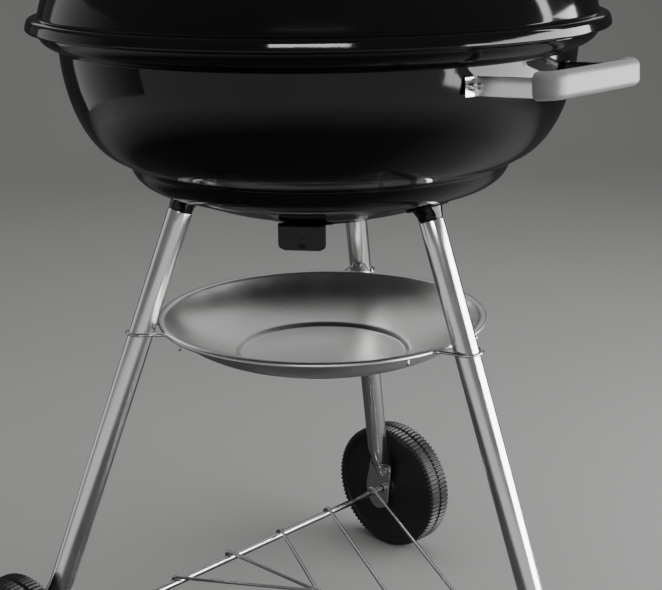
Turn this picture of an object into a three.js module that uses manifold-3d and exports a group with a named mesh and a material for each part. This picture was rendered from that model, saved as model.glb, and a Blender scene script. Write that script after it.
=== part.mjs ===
// Kettle charcoal grill on three splayed legs, in millimetres with +Z up.
// The kettle's axis is vertical. The plain leg and one side handle point to -Y, the axle and the
// two wheels are behind it on the +Y side, and the axle runs along X.
import * as THREE from 'three';
import { mergeVertices } from 'three/addons/utils/BufferGeometryUtils.js';
import { ConvexGeometry } from 'three/addons/geometries/ConvexGeometry.js';
import Module from 'manifold-3d';

const wasm = await Module();
wasm.setup();

// ---------------------------------------------------------------- driving dimensions
const GAP = 0.3;
const ROUND_SEGMENTS = 36;
const PROFILE_STEPS = 3;

// Kettle: heights above the floor and radii from the kettle's axis.
const BOWL_WALL = 2;
const BOWL_BOTTOM_Z = 532;
const BOWL_DISH = { radius: 128, z: 552 };
const LOWER_STEP = { radius: 163, z: 564.6 };
const LOWER_BAND_TOP = { radius: 195, z: 592 };
const UPPER_STEP = { radius: 213, z: 602 };
const BOWL_WALL_TOP = { radius: 258.8, z: 706.5 };
const RIM_RADIUS = 279.5;
const RIM_TOP_Z = 740.6;

const LID_WALL = 2;
const LID_BASE_Z = 743.5;
const LID_BASE_RADIUS = 277;
const LID_RISE = 188;
const LID_SINK = 50;
const LID_FLANGE_RADIUS = 290;

// Legs: the tube's axis runs out by LEG_SPLAY for each millimetre that it comes down.
const LEG_RADIUS = 12.5;
const LEG_BORE = 11.1;
const LEG_SPLAY = 0.366;
const LEG_REFERENCE = { radius: 171.9, z: 480 };
const LEG_TOP_Z = 545;
const LEG_AZIMUTH = { front: -90, left: 150, right: 30 };

// Wheels and axle.
const AXLE_RADIUS = 4;
const AXLE_Y = 158.6;
const AXLE_Z = 83;
const WHEEL_RADIUS = 83;
const WHEEL_WIDTH = 34;
const WHEEL_CENTRE_X = 299;
const PLATE_X = 276.5;
const PLATE_THICKNESS = 3;

// Ash pan and its wire clips.
const PAN_RADIUS = 174.5;
const PAN_LIP_Z = 422;
const PAN_FLOOR_Z = 378;
const PAN_FLOOR_RADIUS = 88;
const PAN_WALL = 1.2;
const CLIP_WIRE_RADIUS = 1.5;

// Bottom rack.
const RACK_WIRE_RADIUS = 2;
const RACK_PITCH = 85.4;
const RACK_DEPTH_PER_WIRE = 144.4;

// Handles: a flat strap bent to a U, sleeved with a moulded grip.
const STRAP_THICKNESS = 1.5;
const STRAP_HEIGHT = 17.5;
const GRIP_THICKNESS = 14;
const GRIP_HEIGHT = 24.5;
const SIDE_HANDLE_Z = 690;
const SIDE_HANDLE_TILT = 3;
const SIDE_HANDLE_ROOT_Y = -248;
const SIDE_HANDLE_REACH = -329;
const SIDE_HANDLE_HALF_WIDTH = 67;
const SIDE_HANDLE_CORNER = 15;
const GRIP_RISE = 1.8;
const SIDE_FOOT_AZIMUTH_OFFSET = 16.2;
const SIDE_FOOT_HALF_LENGTH = 6;
const SIDE_ARM_ROOT = -7;

const FASTENER_RADIUS = 3;
const FASTENER_BORE = 3.4;

// The kettle's axis stands this far behind the frame's origin, which is the centre of the footprint.
const AXIS_Y = 13.94;

// ---------------------------------------------------------------- materials
function surface(color, roughness, metalness) {
  return new THREE.MeshStandardMaterial({ color, roughness, metalness });
}

const enamel = surface(0x0b0b0c, 0.12, 0.0);
const aluminium = surface(0xb9b9b7, 0.32, 1.0);
const polished = surface(0xd8d8d6, 0.16, 1.0);
const steelWire = surface(0xa9a9a7, 0.25, 1.0);
const gripPlastic = surface(0x8f8f8d, 0.5, 0.0);
const blackPlastic = surface(0x141414, 0.6, 0.0);
const ironGrey = surface(0x4a4a4b, 0.55, 0.8);

// ---------------------------------------------------------------- geometry helpers
const radians = THREE.MathUtils.degToRad;

/** A point at a radius, an azimuth in degrees and a height. */
function polar(radius, azimuth, z) {
  const angle = radians(azimuth);
  return new THREE.Vector3(radius * Math.cos(angle), radius * Math.sin(angle), z);
}

/** Distance of a leg's axis from the kettle's axis at a height. */
function legRadiusAt(z) {
  return LEG_REFERENCE.radius + LEG_SPLAY * (LEG_REFERENCE.z - z);
}

/** Joins shared corners, drops faces without area and turns every face outwards. */
function weld(geometry) {
  const bare = geometry.clone();
  for (const name of ['normal', 'uv']) {
    bare.deleteAttribute(name);
  }
  const merged = mergeVertices(bare, 1e-4);
  const source = merged.index.array;
  const faces = [];
  for (let i = 0; i < source.length; i += 3) {
    const [a, b, c] = [source[i], source[i + 1], source[i + 2]];
    if (a !== b && b !== c && c !== a) {
      faces.push([a, b, c]);
    }
  }
  const outward = signedVolume(merged, faces) > 0;
  merged.setIndex(faces.flatMap(([a, b, c]) => (outward ? [a, b, c] : [a, c, b])));
  return merged;
}

/** Six times the volume that the faces enclose, negative where they point inwards. */
function signedVolume(geometry, faces) {
  const corners = geometry.attributes.position;
  const [a, b, c] = [new THREE.Vector3(), new THREE.Vector3(), new THREE.Vector3()];
  let total = 0;
  for (const [i, j, k] of faces) {
    a.fromBufferAttribute(corners, i);
    b.fromBufferAttribute(corners, j);
    c.fromBufferAttribute(corners, k);
    total += a.dot(b.cross(c));
  }
  return total;
}

/** A boolean solid made from a closed geometry. */
function solid(geometry) {
  const closed = weld(geometry);
  return new wasm.Manifold(new wasm.Mesh({
    numProp: 3,
    vertProperties: new Float32Array(closed.attributes.position.array),
    triVerts: new Uint32Array(closed.index.array),
  }));
}

/** The geometry of a boolean solid. */
function geometryOf(manifold) {
  const mesh = manifold.getMesh();
  const geometry = new THREE.BufferGeometry();
  geometry.setAttribute('position', new THREE.BufferAttribute(mesh.vertProperties, 3));
  geometry.setIndex(new THREE.BufferAttribute(mesh.triVerts, 1));
  geometry.computeVertexNormals();
  return geometry;
}

function unite(geometries) {
  return geometries.map(solid).reduce((whole, piece) => whole.add(piece));
}

function cut(manifold, geometries) {
  return geometries.map(solid).reduce((left, tool) => left.subtract(tool), manifold);
}

/** Turns a profile of [radius, height] pairs about the Z axis. */
function turned(profile, segments = ROUND_SEGMENTS) {
  const points = profile.map(([radius, z]) => new THREE.Vector2(radius, z));
  return new THREE.LatheGeometry(points, segments).rotateX(Math.PI / 2);
}

/** A turned ring, whose profile closes on itself. */
function turnedRing(profile, segments = ROUND_SEGMENTS) {
  return turned([...profile, profile[0]], segments);
}

/** A cylinder between two points. */
function rod(from, to, radius, segments = 16) {
  const axis = to.clone().sub(from);
  const geometry = new THREE.CylinderGeometry(radius, radius, axis.length(), segments);
  const turn = new THREE.Quaternion();
  turn.setFromUnitVectors(new THREE.Vector3(0, 1, 0), axis.clone().normalize());
  geometry.applyQuaternion(turn);
  const middle = from.clone().add(to).multiplyScalar(0.5);
  return geometry.translate(middle.x, middle.y, middle.z);
}

function box(width, depth, height, x, y, z) {
  return new THREE.BoxGeometry(width, depth, height).translate(x, y, z);
}

/** A route that passes through each of its stations, one step apart. */
class Route extends THREE.Curve {
  constructor(stations) {
    super();
    this.stations = stations;
  }

  getPoint(t, target = new THREE.Vector3()) {
    return target.copy(this.stations[Math.round(t * (this.stations.length - 1))]);
  }

  getPointAt(t, target) {
    return this.getPoint(t, target);
  }

  getSpacedPoints(steps) {
    return this.getPoints(steps);
  }

  getTangentAt(t, target = new THREE.Vector3()) {
    const last = this.stations.length - 1;
    const here = Math.round(t * last);
    const before = this.stations[Math.max(here - 1, 0)];
    const after = this.stations[Math.min(here + 1, last)];
    return target.copy(after).sub(before).normalize();
  }
}

/** Sweeps a flat section along stations. */
function swept(section, stations) {
  const options = { steps: stations.length - 1, extrudePath: new Route(stations) };
  return new THREE.ExtrudeGeometry(section, options);
}

function roundSection(radius, sides = 8) {
  const corners = Array.from({ length: sides }, (_, i) => {
    const angle = (i + 0.5) * 2 * Math.PI / sides;
    return new THREE.Vector2(radius * Math.cos(angle), radius * Math.sin(angle));
  });
  return new THREE.Shape(corners);
}

/** A rectangle centred on an offset, or with its corners cut off where bevel is given. */
function rectangle(width, height, offset = 0, bevel = 0) {
  const [w, h] = [width / 2, height / 2];
  const corners = bevel > 0
    ? [[w, h - bevel], [w - bevel, h], [bevel - w, h], [-w, h - bevel],
      [-w, bevel - h], [bevel - w, -h], [w - bevel, -h], [w, bevel - h]]
    : [[w, h], [-w, h], [-w, -h], [w, -h]];
  return corners.map(([x, y]) => new THREE.Vector2(x + offset, y));
}

/** Stations on a flat arc about a centre in the XY plane, from one angle to another in degrees. */
function arc(centreX, centreY, radius, from, to, steps, z = 0) {
  return Array.from({ length: steps + 1 }, (_, i) => {
    const angle = radians(from + (to - from) * i / steps);
    return new THREE.Vector3(centreX + radius * Math.cos(angle), centreY + radius * Math.sin(angle), z);
  });
}

/** Moves each point of an open profile sideways, to its left where distance is positive. */
function offsetProfile(profile, distance) {
  return profile.map((point, i) => {
    const before = profile[Math.max(i - 1, 0)];
    const after = profile[Math.min(i + 1, profile.length - 1)];
    const length = Math.hypot(after[0] - before[0], after[1] - before[1]);
    const side = [-(after[1] - before[1]) / length, (after[0] - before[0]) / length];
    const radius = point[0] < GAP ? 0 : point[0] + distance * side[0];
    return [radius, point[1] + distance * side[1]];
  });
}

/** Six points of a wire's round section, for a ring. */
function circleProfile(radius, z, wireRadius) {
  return Array.from({ length: 6 }, (_, i) => {
    const angle = radians(60 * i);
    return [radius + wireRadius * Math.cos(angle), z + wireRadius * Math.sin(angle)];
  });
}

/** A closed profile: an open one with a wall on its left where thickness is positive. */
function thickened(profile, thickness) {
  return [...profile, ...offsetProfile(profile, thickness).reverse()];
}

function profilePoints(path, divisions) {
  return path.getPoints(divisions).map((point) => [point.x, point.y]);
}

const group = new THREE.Group();
group.position.y = AXIS_Y;

/** Adds a named sub-part to the grill, or to a group of it. */
function addPart(name, geometry, material, parent = group) {
  const mesh = new THREE.Mesh(weld(geometry), material);
  mesh.name = name;
  parent.add(mesh);
  return mesh;
}

function addSolid(name, manifold, material, parent = group) {
  return addPart(name, geometryOf(manifold), material, parent);
}

// ---------------------------------------------------------------- bowl
function bowlOutline(divisions) {
  const path = new THREE.Path();
  path.moveTo(0, BOWL_BOTTOM_Z);
  path.quadraticCurveTo(75, BOWL_BOTTOM_Z, BOWL_DISH.radius, BOWL_DISH.z);
  path.lineTo(LOWER_STEP.radius, LOWER_STEP.z);
  path.quadraticCurveTo(190.5, 571, LOWER_BAND_TOP.radius, LOWER_BAND_TOP.z);
  path.lineTo(UPPER_STEP.radius, UPPER_STEP.z);
  path.bezierCurveTo(236, 614, 256, 655, BOWL_WALL_TOP.radius, BOWL_WALL_TOP.z);
  path.bezierCurveTo(266, 713.5, 274, 714.5, RIM_RADIUS, 728);
  path.lineTo(RIM_RADIUS, RIM_TOP_Z);
  return profilePoints(path, divisions);
}

/** The space that the bowl takes up, grown by a clearance, for parts that fit against it. */
function bowlEnvelope(clearance) {
  const outline = offsetProfile(bowlOutline(PROFILE_STEPS), -clearance);
  return turned([...outline, [0, RIM_TOP_Z]]);
}

const VENT_RADIUS = 14;
const VENT_CIRCLE = 46;
const VENT_COUNT = 3;

/** The vent cutters of the bowl's floor or of its damper, turned about the axis. */
function ventTools(turn) {
  return Array.from({ length: VENT_COUNT }, (_, i) => {
    const centre = polar(VENT_CIRCLE, turn + i * 360 / VENT_COUNT, BOWL_BOTTOM_Z);
    const down = centre.clone().setZ(BOWL_BOTTOM_Z - 20);
    return rod(down, centre.setZ(BOWL_BOTTOM_Z + 20), VENT_RADIUS, 10);
  });
}

/** Azimuths of the two feet of each side handle. */
const sideFootAzimuths = [-90, 90].flatMap((middle) => (
  [middle - SIDE_FOOT_AZIMUTH_OFFSET, middle + SIDE_FOOT_AZIMUTH_OFFSET]));

function buildBowl() {
  const shell = solid(turned(thickened(bowlOutline(PROFILE_STEPS), BOWL_WALL)));
  const pivotBore = rod(new THREE.Vector3(0, 0, BOWL_BOTTOM_Z - 5),
    new THREE.Vector3(0, 0, BOWL_BOTTOM_Z + 5), 4.4);
  const boltBores = sideFootAzimuths.map((azimuth) => (
    rod(polar(240, azimuth, SIDE_HANDLE_Z), polar(270, azimuth, SIDE_HANDLE_Z), FASTENER_BORE, 8)));
  addSolid('bowl_shell', cut(shell, [pivotBore, ...ventTools(30), ...boltBores]), enamel);
}

// ---------------------------------------------------------------- damper under the bowl
const DAMPER_RADIUS = 72;
const DAMPER_WALL = 1.5;
const DAMPER_TAB_AZIMUTH = -146;
const DAMPER_TAB_WIDTH = 47;
const DAMPER_TAB_RADIUS = 112;
const DAMPER_TAB_BOTTOM_Z = 518;

function buildBottomDamper() {
  const path = new THREE.Path();
  path.moveTo(0, BOWL_BOTTOM_Z - GAP - DAMPER_WALL);
  path.quadraticCurveTo(40, BOWL_BOTTOM_Z - GAP - DAMPER_WALL, DAMPER_RADIUS, BOWL_BOTTOM_Z + 2.9);
  const blade = unite([turned(thickened(profilePoints(path, PROFILE_STEPS), DAMPER_WALL))]);
  const arm = new THREE.Shape([[56, 533.3], [DAMPER_TAB_RADIUS, 544.6],
    [DAMPER_TAB_RADIUS, DAMPER_TAB_BOTTOM_Z], [DAMPER_TAB_RADIUS - 1.6, DAMPER_TAB_BOTTOM_Z],
    [DAMPER_TAB_RADIUS - 1.6, 542.8], [56, 531.8]].map(([x, y]) => new THREE.Vector2(x, y)));
  const armGeometry = new THREE.ExtrudeGeometry(arm, { depth: DAMPER_TAB_WIDTH, bevelEnabled: false });
  armGeometry.translate(0, 0, -DAMPER_TAB_WIDTH / 2).rotateX(Math.PI / 2);
  armGeometry.rotateZ(radians(DAMPER_TAB_AZIMUTH));
  const pivotBore = rod(new THREE.Vector3(0, 0, BOWL_BOTTOM_Z - 9),
    new THREE.Vector3(0, 0, BOWL_BOTTOM_Z + 5), 4.4);
  const whole = cut(blade.add(solid(armGeometry)), [pivotBore, ...ventTools(60)]);
  addSolid('bottom_damper', whole, enamel);

  const floor = BOWL_BOTTOM_Z + BOWL_WALL + 3 * GAP;
  const under = BOWL_BOTTOM_Z - DAMPER_WALL - 2 * GAP;
  const rivet = [[0, under - 3], [9, under - 3], [9, under], [4, under], [4, floor], [9, floor],
    [7, floor + 2.5], [0, floor + 2.5]];
  addPart('bottom_damper_rivet', turned(rivet, 12), steelWire);
}

// ---------------------------------------------------------------- grates
const COOKING_GRATE = { radius: 261, z: 716, wire: 3.2, bars: 15, barWidth: 4 };
const CHARCOAL_GRATE = { radius: 203, z: 606.5, wire: 3.6, bars: 9, barWidth: 5 };

/** A round grate: a rim wire, parallel bars in its plane and two cross bars under them. */
function buildGrate(name, { radius, z, wire, bars, barWidth }, material) {
  const pieces = [turnedRing(circleProfile(radius, z, wire))];
  const pitch = 2 * radius / (bars + 1);
  for (let i = 1; i <= bars; i += 1) {
    const x = i * pitch - radius;
    const length = 2 * Math.sqrt(radius * radius - x * x);
    pieces.push(box(barWidth, length, barWidth, x, 0, z));
  }
  for (const y of [-radius / 2, radius / 2]) {
    const length = 2 * Math.sqrt(radius * radius - y * y);
    pieces.push(box(length, barWidth, barWidth, 0, y, z - barWidth / 2));
  }
  addSolid(name, unite(pieces), material);
}

// ---------------------------------------------------------------- lid
// The dome is the top of an ellipsoid whose middle lies LID_SINK below the dome's base.
const ELLIPSE_HEIGHT = LID_RISE + LID_SINK;
const ELLIPSE_WIDTH = LID_BASE_RADIUS / Math.sqrt(1 - (LID_SINK / ELLIPSE_HEIGHT) ** 2);

/** Radius of the dome's outer face at a height above the dome's base. */
function domeRadius(height) {
  return ELLIPSE_WIDTH * Math.sqrt(1 - ((height + LID_SINK) / ELLIPSE_HEIGHT) ** 2);
}

/** Height above the floor of the dome's outer face at a radius. */
function domeZ(radius) {
  return LID_BASE_Z - LID_SINK + ELLIPSE_HEIGHT * Math.sqrt(1 - (radius / ELLIPSE_WIDTH) ** 2);
}

function lidOutline() {
  const steps = 7;
  const dome = Array.from({ length: steps }, (_, i) => {
    const height = LID_RISE * Math.cos(radians(90 * i / steps));
    return [i === 0 ? 0 : domeRadius(height), LID_BASE_Z + height];
  });
  const flange = new THREE.Path();
  flange.moveTo(LID_BASE_RADIUS + 0.5, LID_BASE_Z);
  flange.quadraticCurveTo(288, 742.6, 288.6, 736.5);
  flange.lineTo(LID_FLANGE_RADIUS, 729.2);
  flange.quadraticCurveTo(LID_FLANGE_RADIUS, 726.2, LID_FLANGE_RADIUS - 4, 725.2);
  return [...dome, ...profilePoints(flange, PROFILE_STEPS)];
}

const LID_VENT_STATION = 178;
const LID_VENT_AZIMUTH = 90;
const LID_DAMPER_RADIUS = 42;

/** A group whose Z axis stands square on the dome, at the lid's vent. */
function ventGroup() {
  const slope = (domeZ(LID_VENT_STATION + 1) - domeZ(LID_VENT_STATION - 1)) / 2;
  const frame = new THREE.Group();
  frame.position.copy(polar(LID_VENT_STATION, LID_VENT_AZIMUTH, domeZ(LID_VENT_STATION)));
  const outward = polar(-slope, LID_VENT_AZIMUTH, 1).normalize();
  frame.quaternion.setFromUnitVectors(new THREE.Vector3(0, 0, 1), outward);
  frame.updateMatrix();
  return frame;
}

/** Four round vents about the origin, and the pivot's bore. */
function lidVentTools(turn, depth) {
  const tools = [0, 90, 180, 270].map((azimuth) => (
    rod(polar(24, turn + azimuth, -depth), polar(24, turn + azimuth, depth), 8, 8)));
  tools.push(rod(new THREE.Vector3(0, 0, -depth), new THREE.Vector3(0, 0, depth), FASTENER_BORE, 8));
  return tools;
}

const LID_BOLT_X = 58;

function buildLid() {
  const shell = solid(turned(thickened(lidOutline(), -LID_WALL)));
  const frame = ventGroup();
  const pad = turned([[0, -3.5], [47, -6.5], [48, -1], [46, 1.5], [0, 1.5]], 20);
  const tools = lidVentTools(0, 12).map((tool) => tool.applyMatrix4(frame.matrix));
  const boltBores = [-LID_BOLT_X, LID_BOLT_X].map((x) => (
    rod(new THREE.Vector3(x, 0, 915), new THREE.Vector3(x, 0, 940), FASTENER_BORE, 8)));
  const whole = shell.add(solid(pad.applyMatrix4(frame.matrix)));
  addSolid('lid_shell', cut(whole, [...tools, ...boltBores]), enamel);
}

function buildLidDamper() {
  const frame = ventGroup();
  group.add(frame);
  const under = 1.5 + GAP;
  const top = under + 1.2;
  const edge = LID_DAMPER_RADIUS;
  const disc = solid(turned([[0, under], [edge, under], [edge, top], [0, top]], 24));
  const tab = solid(box(16, 2, 12, 0, LID_DAMPER_RADIUS - 5, top + 5.5));
  addSolid('lid_damper', cut(disc.add(tab), lidVentTools(20, 12)), aluminium, frame);

  const head = top + GAP;
  const rivet = [[0, -9.5], [7, -9.5], [7, -7], [3, -7], [3, head], [7.5, head],
    [6, head + 2.5], [0, head + 2.5]];
  addPart('lid_damper_rivet', turned(rivet, 10), steelWire, frame);
}

// ---------------------------------------------------------------- lid handle
const SHIELD_Z = 932;
const SHIELD_THICKNESS = 1.2;
const LID_FOOT_Z = SHIELD_Z + SHIELD_THICKNESS + GAP + STRAP_THICKNESS / 2;
const LID_HANDLE_HALF_WIDTH = 70;
const LID_HANDLE_RISE = 36;
const LID_HANDLE_CORNER = 22;

/** The line of a handle's strap, in a plane: two arms and the bar that joins them. */
function handleBar(halfWidth, base, reach, radius, steps = 6) {
  const left = arc(radius - halfWidth, reach + radius, radius, 180, 270, steps);
  const right = arc(halfWidth - radius, reach + radius, radius, 270, 360, steps);
  const line = [new THREE.Vector3(-halfWidth, base, 0), ...left, ...right];
  return [...line, new THREE.Vector3(halfWidth, base, 0)];
}

/** A moulded sleeve around a strap's line, whose middle stands above the strap's by a rise. */
function gripSleeve(stations, rise) {
  const section = new THREE.Shape(rectangle(GRIP_HEIGHT, GRIP_THICKNESS, -rise, 4));
  const channel = rectangle(STRAP_HEIGHT + 2 * GAP, STRAP_THICKNESS + 2 * GAP);
  section.holes.push(new THREE.Path(channel));
  return swept(section, stations);
}

function buildLidHandle() {
  const shield = solid(box(168, 56, SHIELD_THICKNESS, 0, 0, SHIELD_Z + SHIELD_THICKNESS / 2));
  const bores = [-LID_BOLT_X, LID_BOLT_X].map((x) => (
    rod(new THREE.Vector3(x, 0, 920), new THREE.Vector3(x, 0, 945), FASTENER_BORE, 8)));
  addSolid('lid_handle_shield', cut(shield, bores), aluminium);

  const frame = new THREE.Group();
  frame.position.z = LID_FOOT_Z;
  frame.rotation.x = -Math.PI / 2;
  group.add(frame);
  const bar = handleBar(LID_HANDLE_HALF_WIDTH, 0, -LID_HANDLE_RISE, LID_HANDLE_CORNER);
  const feet = [new THREE.Vector3(-46, 0, 0), new THREE.Vector3(46, 0, 0)];
  const strap = solid(swept(new THREE.Shape(rectangle(STRAP_HEIGHT, STRAP_THICKNESS)),
    [feet[0], ...bar, feet[1]]));
  const strapBores = [-LID_BOLT_X, LID_BOLT_X].map((x) => (
    rod(new THREE.Vector3(x, 6, 0), new THREE.Vector3(x, -6, 0), FASTENER_BORE, 8)));
  addSolid('lid_handle_bracket', cut(strap, strapBores), polished, frame);
  const grip = handleBar(LID_HANDLE_HALF_WIDTH, -11, -LID_HANDLE_RISE, LID_HANDLE_CORNER);
  addPart('lid_handle_grip', gripSleeve(grip, 0), gripPlastic, frame);

  const head = LID_FOOT_Z + STRAP_THICKNESS / 2 + GAP;
  for (const [side, x] of [['left', -LID_BOLT_X], ['right', LID_BOLT_X]]) {
    const bolt = [[0, 917], [6, 917], [6, 921.5], [FASTENER_RADIUS, 921.5], [FASTENER_RADIUS, head],
      [5.5, head], [4, head + 3], [0, head + 3]];
    addPart(`lid_handle_bolt_${side}`, turned(bolt, 10).translate(x, 0, 0), steelWire);
  }
}

// ---------------------------------------------------------------- side handles
/** A group that carries a side handle, which is drawn pointing to -Y. */
function sideHandleGroup(azimuth) {
  const turn = new THREE.Group();
  turn.rotation.z = radians(azimuth + 90);
  group.add(turn);
  const tilt = new THREE.Group();
  tilt.position.set(0, SIDE_HANDLE_ROOT_Y, SIDE_HANDLE_Z);
  tilt.rotation.x = radians(-SIDE_HANDLE_TILT);
  turn.add(tilt);
  return tilt;
}

function buildSideHandle(name, azimuth) {
  const frame = sideHandleGroup(azimuth);
  const footRadius = BOWL_WALL_TOP.radius + STRAP_THICKNESS / 2 + 3 * GAP;
  const footAngle = radians(SIDE_FOOT_AZIMUTH_OFFSET);
  const footMiddle = new THREE.Vector3(-footRadius * Math.sin(footAngle),
    -footRadius * Math.cos(footAngle) - SIDE_HANDLE_ROOT_Y, 0);
  const along = new THREE.Vector3(Math.cos(footAngle), -Math.sin(footAngle), 0);
  const leftFoot = [-SIDE_FOOT_HALF_LENGTH, SIDE_FOOT_HALF_LENGTH].map((step) => (
    footMiddle.clone().addScaledVector(along, step)));
  const rightFoot = leftFoot.map((point) => new THREE.Vector3(-point.x, point.y, 0)).reverse();
  const reach = SIDE_HANDLE_REACH - SIDE_HANDLE_ROOT_Y;
  const bar = handleBar(SIDE_HANDLE_HALF_WIDTH, SIDE_ARM_ROOT, reach, SIDE_HANDLE_CORNER);
  const strap = solid(swept(new THREE.Shape(rectangle(STRAP_HEIGHT, STRAP_THICKNESS)),
    [...leftFoot, ...bar, ...rightFoot]));
  const bores = [-1, 1].map((side) => {
    const out = new THREE.Vector3(side * Math.sin(footAngle), -Math.cos(footAngle), 0);
    const middle = new THREE.Vector3(side * -footMiddle.x, footMiddle.y, 0);
    const [inside, outside] = [-6, 6].map((step) => middle.clone().addScaledVector(out, step));
    return rod(inside, outside, FASTENER_BORE, 8);
  });
  addSolid(`${name}_bracket`, cut(strap, bores), polished, frame);

  const gripLine = bar.slice(1, -1);
  addPart(`${name}_grip`, gripSleeve(gripLine, GRIP_RISE), gripPlastic, frame);

  for (const [side, offset] of [['left', -1], ['right', 1]]) {
    const head = footRadius + STRAP_THICKNESS / 2 + 2.5 * GAP;
    const bolt = turned([[0, 247.5], [6, 247.5], [6, 252], [FASTENER_RADIUS, 252], [FASTENER_RADIUS, head],
      [4.5, head], [3.5, head + 2], [0, head + 2]], 10);
    bolt.rotateX(Math.PI / 2).rotateZ(radians(offset * SIDE_FOOT_AZIMUTH_OFFSET + azimuth + 90));
    addPart(`${name}_bolt_${side}`, bolt.translate(0, 0, SIDE_HANDLE_Z), steelWire);
  }
}

// ---------------------------------------------------------------- legs
/** A point on a leg's axis. */
function legPoint(azimuth, z) {
  return polar(legRadiusAt(z), azimuth, z);
}

const SOCKET_SADDLE = { along: 27, across: 15, thickness: 2 };

function buildLegSocket(name, azimuth) {
  const spigot = solid(rod(legPoint(azimuth, LEG_TOP_Z - 30), legPoint(azimuth, 575), LEG_BORE - GAP));
  const collar = solid(rod(legPoint(azimuth, LEG_TOP_Z + GAP), legPoint(azimuth, 575), LEG_RADIUS - 0.6, 20));
  const middle = legPoint(azimuth, 558);
  const oval = new THREE.CylinderGeometry(1, 1, 60, 20).rotateX(Math.PI / 2);
  oval.scale(SOCKET_SADDLE.across, SOCKET_SADDLE.along, 1).rotateZ(radians(azimuth));
  oval.translate(middle.x, middle.y, middle.z);
  const saddle = solid(oval).intersect(solid(bowlEnvelope(GAP + SOCKET_SADDLE.thickness)));
  const whole = spigot.add(collar).add(saddle).subtract(solid(bowlEnvelope(GAP)));
  addSolid(name, whole, enamel);
}

function legTube(azimuth, bottomZ) {
  const outer = solid(rod(legPoint(azimuth, bottomZ), legPoint(azimuth, LEG_TOP_Z), LEG_RADIUS, 18));
  const bore = rod(legPoint(azimuth, bottomZ - 5), legPoint(azimuth, LEG_TOP_Z + 5), LEG_BORE, 14);
  return cut(outer, [bore]);
}

const CAP_HEIGHT = 34;

function buildFrontLeg() {
  const azimuth = LEG_AZIMUTH.front;
  addSolid('leg_front', legTube(azimuth, 8), polished);
  const outer = solid(rod(legPoint(azimuth, -20), legPoint(azimuth, CAP_HEIGHT), LEG_RADIUS + 3, 20));
  const socket = rod(legPoint(azimuth, 8 - GAP), legPoint(azimuth, CAP_HEIGHT + 20), LEG_RADIUS + GAP, 20);
  const foot = legPoint(azimuth, 0);
  const floorCut = box(100, 100, 60, foot.x, foot.y, -30);
  addSolid('leg_front_cap', cut(outer, [socket, floorCut]), blackPlastic);
}

/** Outline of a leg's flattened end as [y, z], from its front top corner round its foot. */
const PLATE_OUTLINE = [[142.5, 122], [145.5, 92], [148.5, 65], [155, 56], [166.5, 53], [177, 57.5],
  [183, 66], [187.5, 79], [178, 121]];
const PLATE_FOLD = { y: 161.5, z: 98 };

/** A leg whose lower end is pressed flat against its outer side, in an upright plane on the axle. */
function buildWheelLeg(name, side) {
  const azimuth = LEG_AZIMUTH[name];
  const tubeEnd = 144;
  const overlap = 2;
  const plateX = side * PLATE_X;
  const axis = legPoint(azimuth, 0).sub(legPoint(azimuth, 1)).normalize();
  const across = new THREE.Vector3(0, 0, 1).cross(axis).normalize();
  const up = axis.clone().cross(across);
  const ringRadius = LEG_RADIUS - 0.1;
  const tubeRing = Array.from({ length: 20 }, (_, i) => {
    const angle = radians(18 * i);
    return legPoint(azimuth, tubeEnd + overlap).addScaledVector(across, ringRadius * Math.cos(angle))
      .addScaledVector(up, ringRadius * Math.sin(angle));
  });
  const topCorners = [PLATE_OUTLINE[0], PLATE_OUTLINE[PLATE_OUTLINE.length - 1]];
  const plateEdge = topCorners.flatMap(([y, z]) => [-1, 1].map((face) => (
    new THREE.Vector3(plateX + face * PLATE_THICKNESS / 2, y, z - overlap))));
  const fold = new THREE.Vector3(plateX - side * PLATE_THICKNESS / 2, PLATE_FOLD.y, PLATE_FOLD.z);
  const throat = new ConvexGeometry([...tubeRing, ...plateEdge, fold]);

  const outline = new THREE.Shape(PLATE_OUTLINE.map(([y, z]) => new THREE.Vector2(y, z)));
  const plate = new THREE.ExtrudeGeometry(outline, { depth: PLATE_THICKNESS, bevelEnabled: false });
  plate.rotateX(Math.PI / 2).rotateZ(Math.PI / 2).translate(plateX - PLATE_THICKNESS / 2, 0, 0);
  const axleBore = rod(new THREE.Vector3(plateX - 20, AXLE_Y, AXLE_Z),
    new THREE.Vector3(plateX + 20, AXLE_Y, AXLE_Z), AXLE_RADIUS + GAP);
  const whole = legTube(azimuth, tubeEnd).add(solid(throat)).add(solid(plate));
  addSolid(`leg_${name}`, cut(whole, [axleBore]), polished);
}

// ---------------------------------------------------------------- axle and wheels
const HUB_WIDTH = 38;
const CAP_DEPTH = 9;
const AXLE_HALF_LENGTH = WHEEL_CENTRE_X + HUB_WIDTH / 2 + 6;

/** Turns a profile of [radius, x] pairs about the axle, mirrored to the left where side is -1. */
function aboutAxle(profile, side, segments) {
  const sideways = profile.map(([radius, x]) => [radius, side * x]);
  return turned(sideways, segments).rotateY(Math.PI / 2).translate(0, AXLE_Y, AXLE_Z);
}

function buildAxle() {
  const ends = [-AXLE_HALF_LENGTH, AXLE_HALF_LENGTH].map((x) => new THREE.Vector3(x, AXLE_Y, AXLE_Z));
  addPart('axle', rod(ends[0], ends[1], AXLE_RADIUS), steelWire);
}

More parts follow.
